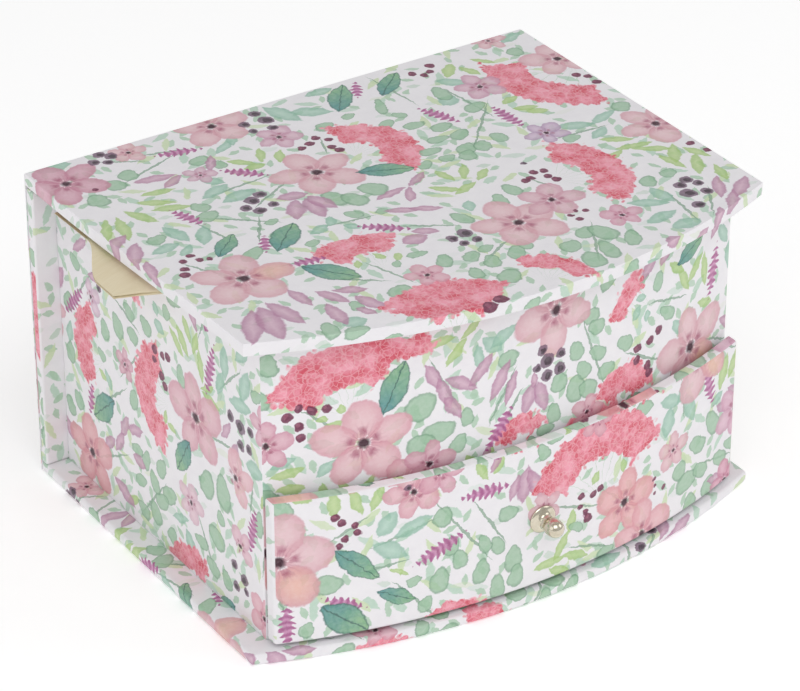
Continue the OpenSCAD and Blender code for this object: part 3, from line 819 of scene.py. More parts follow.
    def _teal(self, dish: Layer, flat: object, colour: object, leaf: tuple) -> object:
        """Adds a large blue-green leaf with a dark outline and middle vein.

        Args:
            dish: The node builder.
            flat: The print coordinates.
            colour: The colour so far.
            leaf: Centre, length, width and turn.

        Returns:
            The colour with it.
        """
        x, y, long, wide, turn = leaf
        along, across = self._local(dish, flat, x, y, long / 2, wide / 2, turn)
        across = abs(across)
        rim = along.fma(along, across)
        hue = dish.mix(along.fma(0.6, dish.wash), srgb("6fa9a8"), srgb("a3c8a4"))
        ribs = (along.fma(13.0, across * -9.0)).cos().fma(0.5, -0.15, clamp=True)
        hue = dish.mix(ribs * 0.5, hue, srgb("4f8f8c"))
        hue = dish.mix(across.fma(-14.0, 1.1, clamp=True).most(rim.fma(7.0, -5.9, clamp=True)), hue, srgb("4a7c74"))
        return dish.mix(rim.fma(-9.0, 9.3).least(0.93), colour, hue)

    def _stem(self, dish: Layer, flat: object, colour: object, stem: tuple) -> object:
        """Adds a thin stem and gives the colour with it."""
        x, y, long, turn = stem
        return self._leaf(dish, flat, colour, (x, y, long, 1.1, turn), "9cb9a4", "8fae98", 0.75)

    def _mint(self, dish: Layer, flat: object, colour: object, leaf: tuple) -> object:
        """Adds a pale blue-green leaf and gives the colour with it."""
        return self._leaf(dish, flat, colour, leaf, "bfdccd", "9cc5b3", 0.78)

    def _lime(self, dish: Layer, flat: object, colour: object, leaf: tuple) -> object:
        """Adds a yellow-green leaf and gives the colour with it."""
        return self._leaf(dish, flat, colour, leaf, "cbdfa6", "b2cf88", 0.8)

    def _mauve(self, dish: Layer, flat: object, colour: object, leaf: tuple) -> object:
        """Adds a mauve petal or leaf and gives the colour with it."""
        return self._leaf(dish, flat, colour, leaf, "dfc1d0", "c08fae", 0.82)

    def _berry(self, dish: Layer, flat: object, colour: object, berry: tuple) -> object:
        """Adds a wine-red berry with a pale spot and gives the colour with it."""
        x, y, r = berry
        colour = self._dot(dish, flat, colour, (x, y, r), "8c4768", 0.95)
        return self._dot(dish, flat, colour, (x - r * 0.25, y + r * 0.3, r * 0.4), "b7788f", 0.6)

    def _plum(self, dish: Layer, flat: object, colour: object, plum: tuple) -> object:
        """Adds a dark plum with a darker heart and gives the colour with it."""
        x, y, r = plum
        colour = self._dot(dish, flat, colour, (x, y, r), "8b7086", 0.85)
        return self._dot(dish, flat, colour, (x + r * 0.15, y - r * 0.1, r * 0.55), "54424f", 0.8)

    def _dot(self, dish: Layer, flat: object, colour: object, ring: tuple, tint: str, strength: float) -> object:
        """Adds a round spot of radius r at x, y and gives the colour with it."""
        x, y, r = ring
        rim = dish.length("DISTANCE", flat, (x, y, 0.0))
        return dish.mix(rim.fma(-3.0, 3.0 * r + 0.2).least(strength), colour, srgb(tint))

    def _lavender(self, dish: Layer, flat: object, colour: object, sprig: tuple) -> object:
        """Adds a spike of tiny violet buds.

        Args:
            dish: The node builder.
            flat: The print coordinates.
            colour: The colour so far.
            sprig: Centre, length, width and turn.

        Returns:
            The colour with it.
        """
        x, y, long, wide, turn = sprig
        along, across = self._local(dish, flat, x, y, long / 2, wide / 2, turn)
        across = abs(across)
        buds = along.fma(long * 1.35, across * 2.2).cos()
        rim = along.fma(along * 0.8, across).fma(1.0, buds * 0.32)
        hue = dish.mix(buds.fma(0.5, 0.5), srgb("b9689f"), srgb("d9a5c8"))
        return dish.mix(rim.fma(-4.5, 4.2).least(0.9), colour, hue)

    def _fan(self, dish: Layer, flat: object, colour: object, fan: Fan) -> object:
        """Adds a crescent of red blossoms with its stems.

        Args:
            dish: The node builder.
            flat: The print coordinates.
            colour: The colour so far.
            fan: The crescent.

        Returns:
            The colour with it.
        """
        far = dish.length("DISTANCE", flat, (fan.x, fan.y, 0.0))
        along, across = self._local(dish, flat, fan.x, fan.y, 1.0, 1.0, fan.turn)
        angle = across._op("ARCTAN2", across, along)
        limit = math.radians(fan.spread)
        inside = (angle * (40 / fan.spread)).cos()
        stem = inside._op("ABSOLUTE", (angle * (12.0)).cos()).fma(-7.0, 1.0, clamp=True)
        reach = far.fma(-1.0, fan.r, clamp=True)
        side = abs(angle).fma(-5.0, 5.0 * limit, clamp=True)
        colour = dish.mix(stem * reach * side * 0.55, colour, srgb("a9cba6"))
        band = abs(far - fan.r).fma(-1.0, fan.thick * 0.58)
        ends = abs(angle).fma(-fan.r * 0.9, limit * fan.r * 0.9)
        mask = band.least(ends).fma(1.0, dish.scallop.fma(-3.4, 1.5)) * 1.3
        return dish.mix(mask.least(0.96), colour, dish.coral)

    def _blossom(self, dish: Layer, flat: object, colour: object, bloom: Blossom) -> object:
        """Adds a flower of separate petals with a dark heart.

        Args:
            dish: The node builder.
            flat: The print coordinates.
            colour: The colour so far.
            bloom: The flower.

        Returns:
            The colour with it.
        """
        for index in range(bloom.petals):
            turn = bloom.turn + index * 360 / 5
            away = bloom.r * (0.56 + 0.05 * math.sin(index * 2.4 + bloom.x))
            at = math.radians(turn)
            x, y = bloom.x + away * math.cos(at), bloom.y + away * math.sin(at)
            wide = bloom.r * (0.37 + 0.05 * math.cos(index * 1.9 + bloom.y))
            along, across = self._local(dish, flat, x, y, bloom.r * 0.47, wide, turn)
            rim = along.fma(along, across * across)
            pale = bloom.odd if bloom.odd and index == bloom.petals - 1 else bloom.pale
            hue = dish.mix(rim.fma(0.75, dish.wash * 0.25), srgb(pale), srgb(bloom.deep))
            colour = dish.mix(rim.fma(-5.0, 5.0).least(0.86), colour, hue)
        far = dish.length("DISTANCE", flat, (bloom.x, bloom.y, 0.0)) * (1 / bloom.r)
        along, across = self._local(dish, flat, bloom.x, bloom.y, bloom.r, bloom.r, bloom.turn)
        angle = across._op("ARCTAN2", across, along)
        rays = (angle * 5.0).cos()
        blotch = abs(far - 0.27).fma(-7.5, 0.95, clamp=True) * rays.fma(1.2, 0.1, clamp=True)
        colour = dish.mix(blotch * 0.7, colour, srgb("b0587b"))
        streak = far.fma(-2.6, 1.35, clamp=True) * (angle * 25.0).cos().fma(0.6, 0.0, clamp=True)
        colour = dish.mix(streak * 0.5, colour, srgb("b9718c"))
        colour = dish.mix(far.fma(-14.0, 2.0), colour, srgb("5d2f45"))
        dots = abs(far - 0.15).fma(-26.0, 1.0, clamp=True) * (angle * 7.0).cos().fma(3.0, -1.6, clamp=True)
        return dish.mix(dots, colour, srgb("f3e6e8"))


@dataclass(frozen=True)
class InnerPaper:
    """Plain off-white paper that lines the inside."""

    name: str = "inner_paper"
    pale: str = "f1ece6"
    deep: str = "e4dcd4"

    def make(self) -> bpy.types.Material:
        """Builds the material.

        Returns:
            The material.
        """
        dish = Dish(self.name)
        place = dish.place()
        cloud = Val(dish, dish.noise(place, 60.0, 4.0, 0.6).outputs[0])
        fibre = Val(dish, dish.noise(place, 1500.0, 3.0, 0.7).outputs[0])
        return dish.surface(
            Base_Color=dish.mix(cloud.fma(0.7, fibre * 0.3, clamp=True), srgb(self.pale), srgb(self.deep)),
            Roughness=fibre.fma(0.2, 0.6),
            Normal=dish.bump(fibre, 0.4, 0.0002),
        )


@dataclass(frozen=True)
class Felt:
    """Short-pile flock on the floors of the tray, the shelf and the drawer, and on the lid's pad."""

    name: str = "flock"
    pale: str = "f0d9dd"
    deep: str = "dbb6bf"

    def make(self) -> bpy.types.Material:
        """Builds the material.

        Returns:
            The material.
        """
        dish = Dish(self.name)
        place = dish.place()
        pile = Val(dish, dish.noise(place, 2600.0, 4.0, 0.75).outputs[0])
        brushed = Val(dish, dish.noise(dish.vector("MULTIPLY", place, (1.0, 0.35, 1.0)), 90.0, 3.0, 0.6).outputs[0])
        return dish.surface(
            Base_Color=dish.mix(pile.fma(0.6, brushed * 0.5, clamp=True), srgb(self.pale), srgb(self.deep)),
            Roughness=pile.fma(0.1, 0.85),
            Sheen_Weight=0.35,
            Sheen_Roughness=0.4,
            Normal=dish.bump(pile, 0.7, 0.0004),
        )


@dataclass(frozen=True)
class Satin:
    """Cream satin ribbon, with fine threads across its width and a soft shine."""

    name: str = "satin"
    pale: str = "f4ead0"
    deep: str = "d8c89e"

    def make(self) -> bpy.types.Material:
        """Builds the material.

        Returns:
            The material.
        """
        dish = Dish(self.name)
        uv = dish.uv()
        thread = Val(dish, dish.noise(dish.vector("MULTIPLY", uv, (160.0, 5200.0, 1.0)), 1.0, 2.0, 0.6).outputs[0])
        slow = Val(dish, dish.noise(dish.vector("MULTIPLY", uv, (60.0, 420.0, 1.0)), 1.0, 3.0, 0.5).outputs[0])
        return dish.surface(
            Base_Color=dish.mix(thread.fma(0.55, slow * 0.5, clamp=True), srgb(self.pale), srgb(self.deep)),
            Roughness=thread.fma(0.22, 0.28),
            Sheen_Weight=0.25,
            Anisotropic=0.45,
            Normal=dish.bump(thread.fma(0.6, slow * 0.4), 0.5, 0.00012),
        )


@dataclass(frozen=True)
class PolishedMetal:
    """Plated metal with faint turning marks and dulling."""

    name: str
    bright: str
    dull: str
    gloss: float

    def make(self) -> bpy.types.Material:
        """Builds the material.

        Returns:
            The material.
        """
        dish = Dish(self.name)
        place = dish.place()
        haze = Val(dish, dish.noise(place, 420.0, 4.0, 0.6).outputs[0])
        marks = Val(dish, dish.noise(dish.vector("MULTIPLY", place, (300.0, 9000.0, 300.0)), 1.0, 2.0, 0.5).outputs[0])
        return dish.surface(
            Base_Color=dish.mix(haze, srgb(self.bright), srgb(self.dull)),
            Metallic=1.0,
            Roughness=haze.fma(0.12, self.gloss),
            Normal=dish.bump(marks, 0.12, 0.00003),
        )


@dataclass(frozen=True)
class StudioFloor:
    """A plain white sweep under the box."""

    name: str = "studio_floor"
    tint: str = "ffffff"

    def make(self) -> bpy.types.Material:
        """Builds the material.

        Returns:
            The material.
        """
        dish = Dish(self.name)
        cloud = Val(dish, dish.noise(dish.place(), 3.0, 2.0, 0.5).outputs[0])
        return dish.surface(
            Base_Color=dish.mix(cloud, srgb(self.tint), srgb("fcfcfc")), Roughness=0.85, Specular_IOR_Level=0.1,
            Emission_Color=(1.0, 1.0, 1.0), Emission_Strength=0.22,
        )


@dataclass(frozen=True)
class PrintPlan:
    """How one printed sheet is divided, so that each part is painted by a shader of its own motifs."""

    art: PrintArt
    across: tuple[float, ...]
    up: tuple[float, ...]

    def tile(self, u: float, v: float) -> int:
        """The number of the part that holds a place, in metres."""
        column = sum(u / MM > line for line in self.across)
        return sum(v / MM > line for line in self.up) * (len(self.across) + 1) + column

    def windows(self) -> list[tuple[float, float, float, float]]:
        """The parts' windows in the order of their numbers."""
        far = 1e4
        xs, ys = (-far, *self.across, far), (-far, *self.up, far)
        return [(x0, y0, x1, y1) for y0, y1 in zip(ys, ys[1:]) for x0, x1 in zip(xs, xs[1:])]


PLANS = {
    Sheet.TOP: PrintPlan(TOP_ART, (-36.0, 30.0), (-28.0, 20.0)),
    Sheet.FRONT: PrintPlan(FRONT_ART, (-34.0, 28.0), (60.0,)),
    Sheet.SIDE: PrintPlan(SIDE_ART, (-8.0, 36.0), (58.0,)),
}


class Finishes:
    """Every finish of the box, made once."""

    def __init__(self) -> None:
        """Makes the materials."""
        self.paper = {
            sheet: [
                PrintedPaper(f"flower_paper_{sheet.value}_{number}", plan.art, window).make()
                for number, window in enumerate(plan.windows())
            ]
            for sheet, plan in PLANS.items()
        }
        self.inner = InnerPaper().make()
        self.felt = Felt().make()
        self.satin = Satin().make()
        self.brass = PolishedMetal("pale_gold", "ece6d6", "b9ae96", 0.06).make()
        self.steel = PolishedMetal("zinc_steel", "d9dcdf", "aeb3b8", 0.28).make()
        self.floor = StudioFloor().make()

    def cover(self, obj: bpy.types.Object, sheets: dict[int, Sheet] | None = None) -> None:
        """Gives each printed face the material of its part of the sheet.

        Args:
            obj: The piece, with its print laid on.
            sheets: Each face's sheet, with none for plain inside paper; all are TOP if it isn't given.
        """
        wanted, slots = [], {}
        layer = obj.data.uv_layers[PRINT_UV].data
        for face in obj.data.polygons:
            sheet = sheets.get(face.index) if sheets is not None else Sheet.TOP
            if sheet is None:
                wanted.append(None)
                continue
            u = sum(layer[i].uv.x for i in face.loop_indices) / face.loop_total
            v = sum(layer[i].uv.y for i in face.loop_indices) / face.loop_total
            wanted.append((sheet, PLANS[sheet].tile(u, v)))
        obj.data.materials.clear()
        for key in sorted(set(wanted), key=str):
            slots[key] = len(slots)
            obj.data.materials.append(self.inner if key is None else self.paper[key[0]][key[1]])
        for face, key in zip(obj.data.polygons, wanted):
            face.material_index = slots[key]


# --------------------------------------------------------------------------- modelling tools


def fresh() -> None:
    """Leaves edit mode and deselects everything."""
    if bpy.context.object and bpy.context.object.mode != "OBJECT":
        bpy.ops.object.mode_set(mode="OBJECT")
    bpy.ops.object.select_all(action="DESELECT")


def pick(obj: bpy.types.Object) -> None:
    """Makes one object the only selected one, and the active one."""
    fresh()
    obj.select_set(True)
    bpy.context.view_layer.objects.active = obj


def settle(name: str) -> bpy.types.Object:
    """Names the active object and puts its place into its mesh.

    Args:
        name: The piece's name.

    Returns:
        The object.
    """
    if bpy.context.object.mode != "OBJECT":
        bpy.ops.object.mode_set(mode="OBJECT")
    obj = bpy.context.object
    obj.name = obj.data.name = name
    bpy.ops.object.transform_apply(location=True, rotation=True, scale=True)
    return obj


def cut(plane_co: Point, plane_no: Point, clear: bool = True) -> None:
    """Cuts the whole mesh in edit mode by a plane.

    Args:
        plane_co: A point of the plane.
        plane_no: Its normal; what lies on that side goes if clear is true.
        clear: Whether that side goes.
    """
    bpy.ops.mesh.select_all(action="SELECT")
    bpy.ops.mesh.bisect(plane_co=plane_co, plane_no=plane_no, use_fill=clear, clear_outer=clear)


def run_modifier(obj: bpy.types.Object, kind: str, **settings: object) -> None:
    """Adds a modifier and applies it.

    Args:
        obj: The object.
        kind: The modifier's type.
        settings: Its settings.
    """
    pick(obj)
    modifier = obj.modifiers.new("step", kind)
    for key, value in settings.items():
        setattr(modifier, key, value)
    bpy.ops.object.modifier_apply(modifier=modifier.name)


def soften(obj: bpy.types.Object, width: float, segments: int = 3, angle: float = 40.0) -> None:
    """Rounds the sharp edges and smooths the shading.

    Args:
        obj: The object.
        width: The rounding in metres.
        segments: Its steps.
        angle: Edges sharper than this are rounded, in degrees.
    """
    if width > 0:
        run_modifier(
            obj, "BEVEL", width=width, segments=segments, limit_method="ANGLE", angle_limit=math.radians(angle),
            offset_type="OFFSET", use_clamp_overlap=True, miter_outer="MITER_ARC",
        )
    pick(obj)
    bpy.ops.object.shade_smooth_by_angle(angle=math.radians(35))
    run_modifier(obj, "WEIGHTED_NORMAL", keep_sharp=True, weight=80)


@dataclass
class Bow:
    """The plan of a board with a straight back and sides and a bowed front."""

    half: float
    radius: float
    centre: float
    back: float

    def block(self, name: str, low: float, high: float) -> bpy.types.Object:
        """Cuts a solid board from a wide disc.

        Args:
            name: The piece's name.
            low: Its underside.
            high: Its top.

        Returns:
            The board.
        """
        fresh()
        bpy.ops.mesh.primitive_cylinder_add(
            vertices=ARC_STEPS, radius=self.radius, depth=high - low, location=(0, self.centre, (low + high) / 2)
        )
        bpy.ops.object.transform_apply(location=True, rotation=True, scale=True)
        bpy.ops.object.mode_set(mode="EDIT")
        cut((self.half, 0, 0), (1, 0, 0))
        cut((-self.half, 0, 0), (-1, 0, 0))
        cut((0, self.back, 0), (0, 1, 0))
        return settle(name)


def grid_cuts(obj: bpy.types.Object, xs: list, ys: list, zs: list = ()) -> None:
    """Cuts an object into a grid, so that it can bend.

    Args:
        obj: The object.
        xs: Where it is cut across x.
        ys: Where it is cut across y.
        zs: Where it is cut across z.
    """
    pick(obj)
    bpy.ops.object.mode_set(mode="EDIT")
    for x in xs:
        cut((x, 0, 0), (1, 0, 0), clear=False)
    for y in ys:
        cut((0, y, 0), (0, 1, 0), clear=False)
    for z in zs:
        cut((0, 0, z), (0, 0, 1), clear=False)
    bpy.ops.object.mode_set(mode="OBJECT")


def seam_cuts(obj: bpy.types.Object, sheet: Sheet, shift: tuple[float, float] = (0.0, 0.0)) -> None:
    """Cuts a piece where its print passes from one part of the sheet to the next.

    Args:
        obj: The piece.
        sheet: Which sheet it is covered with.
        shift: How far the sheet is moved on the piece.
    """
    plan = PLANS[sheet]
    us, vs = [line * MM - shift[0] for line in plan.across], [line * MM - shift[1] for line in plan.up]
    if sheet is Sheet.TOP:
        grid_cuts(obj, us, vs)
    elif sheet is Sheet.FRONT:
        grid_cuts(obj, us, [], vs)
    else:
        grid_cuts(obj, [], [*us, *(-u for u in us)], vs)


def steps(low: float, high: float, count: int) -> list[float]:
    """Places that divide a stretch evenly, without its ends.

    Args:
        low: The start.
        high: The end.
        count: How many parts.

    Returns:
        The places.
    """
    return [low + (high - low) * i / count for i in range(1, count)]


def curved_wall(
    name: str, radius: float, centre: float, half: float, thick: float, low: float, high: float
) -> bpy.types.Object:
    """Makes an upright slab bent to an arc, its outer face at radius.

    Args:
        name: The piece's name.
        radius: The outer radius.
        centre: The y of the arc's centre.
        half: Half its width.
        thick: Its thickness.
        low: Its lower edge.
        high: Its upper edge.

    Returns:
        The slab.
    """
    slab = Bow(half, radius, centre, centre).block(name, low, high)
    fresh()
    bpy.ops.mesh.primitive_cylinder_add(
        vertices=ARC_STEPS, radius=radius - thick, depth=(high - low) * 2, location=(0, centre, (low + high) / 2)
    )
    cutter = settle(name + "_cutter")
    run_modifier(slab, "BOOLEAN", operation="DIFFERENCE", object=cutter, solver="EXACT")
    bpy.data.objects.remove(cutter)
    return slab


def lay_print(obj: bpy.types.Object, sheet: Sheet, top: float, shift: tuple[float, float] = (0.0, 0.0)) -> None:
    """Lays a printed sheet over a piece, so that the print runs on over its edges.

    Args:
        obj: The piece.
        sheet: Which sheet.
        top: The height at which the sheet starts to turn down.
        shift: How far the sheet is moved on the piece.
    """
    mesh = obj.data
    layer = mesh.uv_layers.get(PRINT_UV) or mesh.uv_layers.new(name=PRINT_UV)
    for face in mesh.polygons:
        n = face.normal
        for loop in face.loop_indices:
            p = mesh.vertices[mesh.loops[loop].vertex_index].co
            if sheet is Sheet.TOP:
                drop = top - p.z
                u, v = p.x, p.y
                if abs(n.z) < 0.9:
                    if abs(n.x) > abs(n.y):
                        u += math.copysign(drop, n.x)
                    else:
                        v += math.copysign(drop, n.y)
            elif sheet is Sheet.FRONT:
                u, v = p.x, p.z
                if abs(n.x) > 0.7:
                    u = p.x + p.y
                elif abs(n.z) > 0.7:
                    v = p.z + p.y * 0.5
            else:
                u, v = p.y, p.z
                if n.x > 0.5:
                    u = -p.y
                elif abs(n.y) > 0.7:
                    u = p.y - p.x
                elif abs(n.z) > 0.7:
                    v = p.z + p.x
            layer.data[loop].uv = (u + shift[0], v + shift[1])


def dress(obj: bpy.types.Object, material: bpy.types.Material) -> None:
    """Gives a piece its one material."""
    obj.data.materials.clear()
    obj.data.materials.append(material)


def move_points(obj: bpy.types.Object, rule: object) -> None:
    """Moves each point of a piece's mesh by a rule.

    Args:
        obj: The piece.
        rule: A function from a point to its new place.
    """
    for vertex in obj.data.vertices:
        vertex.co = rule(vertex.co)
    obj.data.update()


def smooth(t: float) -> float:
    """A soft step from 0 to 1."""
    t = min(1.0, max(0.0, t))
    return t * t * (3 - 2 * t)


# --------------------------------------------------------------------------- the box


@dataclass
class Covers:
    """The base board and the spine, covered with printed paper, and the paper hinge."""

    finishes: Finishes
    rounding: float = 1.1 * MM
    base_shift: tuple[float, float] = (0.031, 0.017)
    spine_shift: tuple[float, float] = (-0.06, 0.0)
    hinge_z: float = field(default_factory=lambda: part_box("lid_board")[0].z)
    centre: float = BOW_CENTRE_Y

    def __post_init__(self) -> None:
        """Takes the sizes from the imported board."""
        low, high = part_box("base_board")
        self.half, self.back, self.radius = high.x, high.y, self.centre - low.y

    def build(self) -> None:
        """Makes the base, the spine and the hinge paper."""
        low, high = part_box("base_board")
        base = Bow(self.half, self.radius, self.centre, self.back).block("base_covered", low.z, high.z)
        seam_cuts(base, Sheet.TOP, self.base_shift)
        soften(base, self.rounding)
        lay_print(base, Sheet.TOP, high.z, self.base_shift)
        self.finishes.cover(base)
        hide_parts("base_board")
        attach(base, "box")
        spine = self._board("spine_covered", *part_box("spine_board"))
        lay_print(spine, Sheet.SIDE, 0.0, self.spine_shift)
        self.finishes.cover(spine, {face.index: Sheet.SIDE for face in spine.data.polygons})
        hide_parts("spine_board")
        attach(spine, "box")
        self._hinge()

    def _board(self, name: str, low: Vector, high: Vector) -> bpy.types.Object:
        """Makes a flat board with rounded edges.

        Args:
            name: The piece's name.
            low: Its lowest corner.
            high: Its highest corner.

        Returns:
            The board.
        """
        fresh()
        bpy.ops.mesh.primitive_cube_add(size=1, location=(low + high) / 2, scale=high - low)
        board = settle(name)
        seam_cuts(board, Sheet.SIDE, self.spine_shift)
        soften(board, self.rounding)
        return board

    def _hinge(self) -> None:
        """Makes the paper over the spine that bends on to the lid."""
        low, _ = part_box("spine_cover_paper")
        _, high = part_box("lid_hinge_paper")
        fresh()
        bpy.ops.mesh.primitive_cube_add(size=1, location=(low + high) / 2, scale=high - low)
        paper = settle("spine_and_hinge_paper")
        around = [self.hinge_z + step * 0.4 * MM for step in range(-6, 7)]
        grid_cuts(paper, [], [], [*steps(low.z, self.hinge_z - 3 * MM, 6), *around])
        seam_cuts(paper, Sheet.FRONT)
        soften(paper, 0.12 * MM, 2)
        lay_print(paper, Sheet.FRONT, 0.0)
        self.finishes.cover(paper, {face.index: Sheet.FRONT for face in paper.data.polygons})
        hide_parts("spine_cover_paper", "lid_hinge_paper")
        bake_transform(paper)


@dataclass
class BoxBody:
    """The four walls, the shelf and the floor, papered outside with the print and plain inside."""

    finishes: Finishes
    rounding: float = 0.9 * MM
    centre: float = BOW_CENTRE_Y

    def build(self) -> None:
        """Makes the walls as one papered shell, and dresses the inside."""
        left_low, left_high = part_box("left_wall")
        front_low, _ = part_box("front_wall")
        back_low, back_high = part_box("back_wall")
        shelf_low, shelf_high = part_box("shelf")
        floor_low, floor_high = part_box("body_floor")
        outer = Bow(-left_low.x, self.centre - front_low.y, self.centre, back_high.y)
        wall = left_high.x - left_low.x
        inner = Bow(outer.half - wall, outer.radius - wall, self.centre, back_low.y)
        shell = outer.block("walls_covered", left_low.z, left_high.z)
        upper = inner.block("upper_room", shelf_high.z, left_high.z + wall)
        through = Bow(inner.half, outer.radius + wall * 2, self.centre, inner.back)
        bay = through.block("drawer_bay", floor_high.z, shelf_low.z)
        for cutter in (upper, bay):
            run_modifier(shell, "BOOLEAN", operation="DIFFERENCE", object=cutter, solver="EXACT")
            bpy.data.objects.remove(cutter)
        seam_cuts(shell, Sheet.SIDE)
        seam_cuts(shell, Sheet.FRONT)
        soften(shell, self.rounding, 3, 50)
        lay_print(shell, Sheet.SIDE, 0.0)
        self._print_by_face(shell, outer, inner, wall)
        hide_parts("left_wall", "right_wall", "back_wall", "front_wall", "shelf", "body_floor")
        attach(shell, "box")

    def _print_by_face(self, shell: bpy.types.Object, outer: Bow, inner: Bow, wall: float) -> None:
        """Papers the front, the sides and the inside each with its own sheet.

        Args:
            shell: The walls.
            outer: Their outer plan.
            inner: Their inner plan.
            wall: Their thickness.
        """
        layer = shell.data.uv_layers[PRINT_UV]
        sheets = {}
        for face in shell.data.polygons:
            c, n = face.center, face.normal
            depth = math.hypot(c.x, c.y - self.centre)
            near = wall * 0.25
            within = abs(c.x) < inner.half + near and depth < inner.radius + near and c.y < inner.back + near
            front = depth > inner.radius + wall * 0.3 and c.y < 0 and abs(n.x) < 0.75
            if not within:
                sheets[face.index] = Sheet.FRONT if front else Sheet.SIDE
            if front and not within:
                for loop in face.loop_indices:
                    p = shell.data.vertices[shell.data.loops[loop].vertex_index].co
                    lift = max(0.0, (outer.radius - math.hypot(p.x, p.y - self.centre)))
                    layer.data[loop].uv = (p.x, p.z + lift)
        self.finishes.cover(shell, sheets)


@dataclass
class Lid:
    """The bow-front lid: a papered board, slightly warped by use, with a flocked pad below."""

    finishes: Finishes
    centre: float = BOW_CENTRE_Y
    warp: float = 3.0 * MM
    rounding: float = 1.7 * MM

    def build(self) -> None:
        """Makes the lid and its pad."""
        low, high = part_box("lid_board")
        bow = Bow(high.x, self.centre - low.y, self.centre, high.y)
        lid = bow.block("lid_covered", low.z, high.z)
        grid_cuts(lid, steps(-bow.half, bow.half, 20), steps(low.y, high.y, 16))
        seam_cuts(lid, Sheet.TOP)
        soften(lid, self.rounding, 4)
        lay_print(lid, Sheet.TOP, high.z)
        deep = high.y - low.y

        def lean(p: Vector) -> Vector:
            """Lifts the front left corner a little."""
            left = smooth((0.35 * bow.half - p.x) / (1.35 * bow.half))
            front = smooth((high.y - 0.15 * deep - p.y) / (0.7 * deep))
            return Vector((p.x, p.y, p.z + self.warp * left * front))

        move_points(lid, lean)
        self.finishes.cover(lid)
        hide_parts("lid_board")
        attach(lid, "lid")
        self._pad()

    def _pad(self) -> None:
        """Makes the soft pad below the lid."""
        low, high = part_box("lid_pad")
        bow = Bow(high.x, self.centre - low.y, self.centre, high.y)
        pad = bow.block("lid_pad_soft", low.z, high.z)
        grid_cuts(pad, steps(-bow.half, bow.half, 24), steps(low.y, high.y, 20))
        soften(pad, 0.8 * MM, 3)

        def swell(p: Vector) -> Vector:
            """Pulls the pad in towards its edges."""
            edge = min(bow.half - abs(p.x), bow.back - p.y, bow.radius - math.hypot(p.x, p.y - self.centre))
            crown = smooth(edge / (9 * MM))
            thin = (high.z - p.z) / (high.z - low.z)
            return Vector((p.x, p.y, p.z + thin * (1 - crown) * 0.7 * MM))

        move_points(pad, swell)
        dress(pad, self.finishes.felt)
        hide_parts("lid_pad")
        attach(pad, "lid")


@dataclass
class Linings:
    """The flocked sheets on the floors of the shelf, the tray and the drawer."""

    finishes: Finishes
    centre: float = BOW_CENTRE_Y

    def build(self) -> None:
        """Makes the three linings."""
        for node, body in (("shelf_lining", "box"), ("tray_lining", "box"), ("drawer_lining", "drawer")):
            low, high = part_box(node)
            bow = Bow(high.x, self.centre - low.y, self.centre, high.y)
            lining = bow.block(node + "_flock", low.z, high.z)
            grid_cuts(lining, steps(-bow.half, bow.half, 16), steps(low.y, high.y, 14))
            soften(lining, 0.2 * MM, 2)

            def ripple(p: Vector, top: float = high.z) -> Vector:
                """Lets the sheet lie not quite flat."""
                wave = 0.5 + 0.25 * math.sin(p.x * 130 + 1) + 0.25 * math.sin(p.y * 170 + p.x * 60)
                return Vector((p.x, p.y, p.z - (0.12 * MM * wave if p.z > top - 0.25 * MM else 0.0)))

            move_points(lining, ripple)
            dress(lining, self.finishes.felt)
            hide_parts(node)
            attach(lining, body)


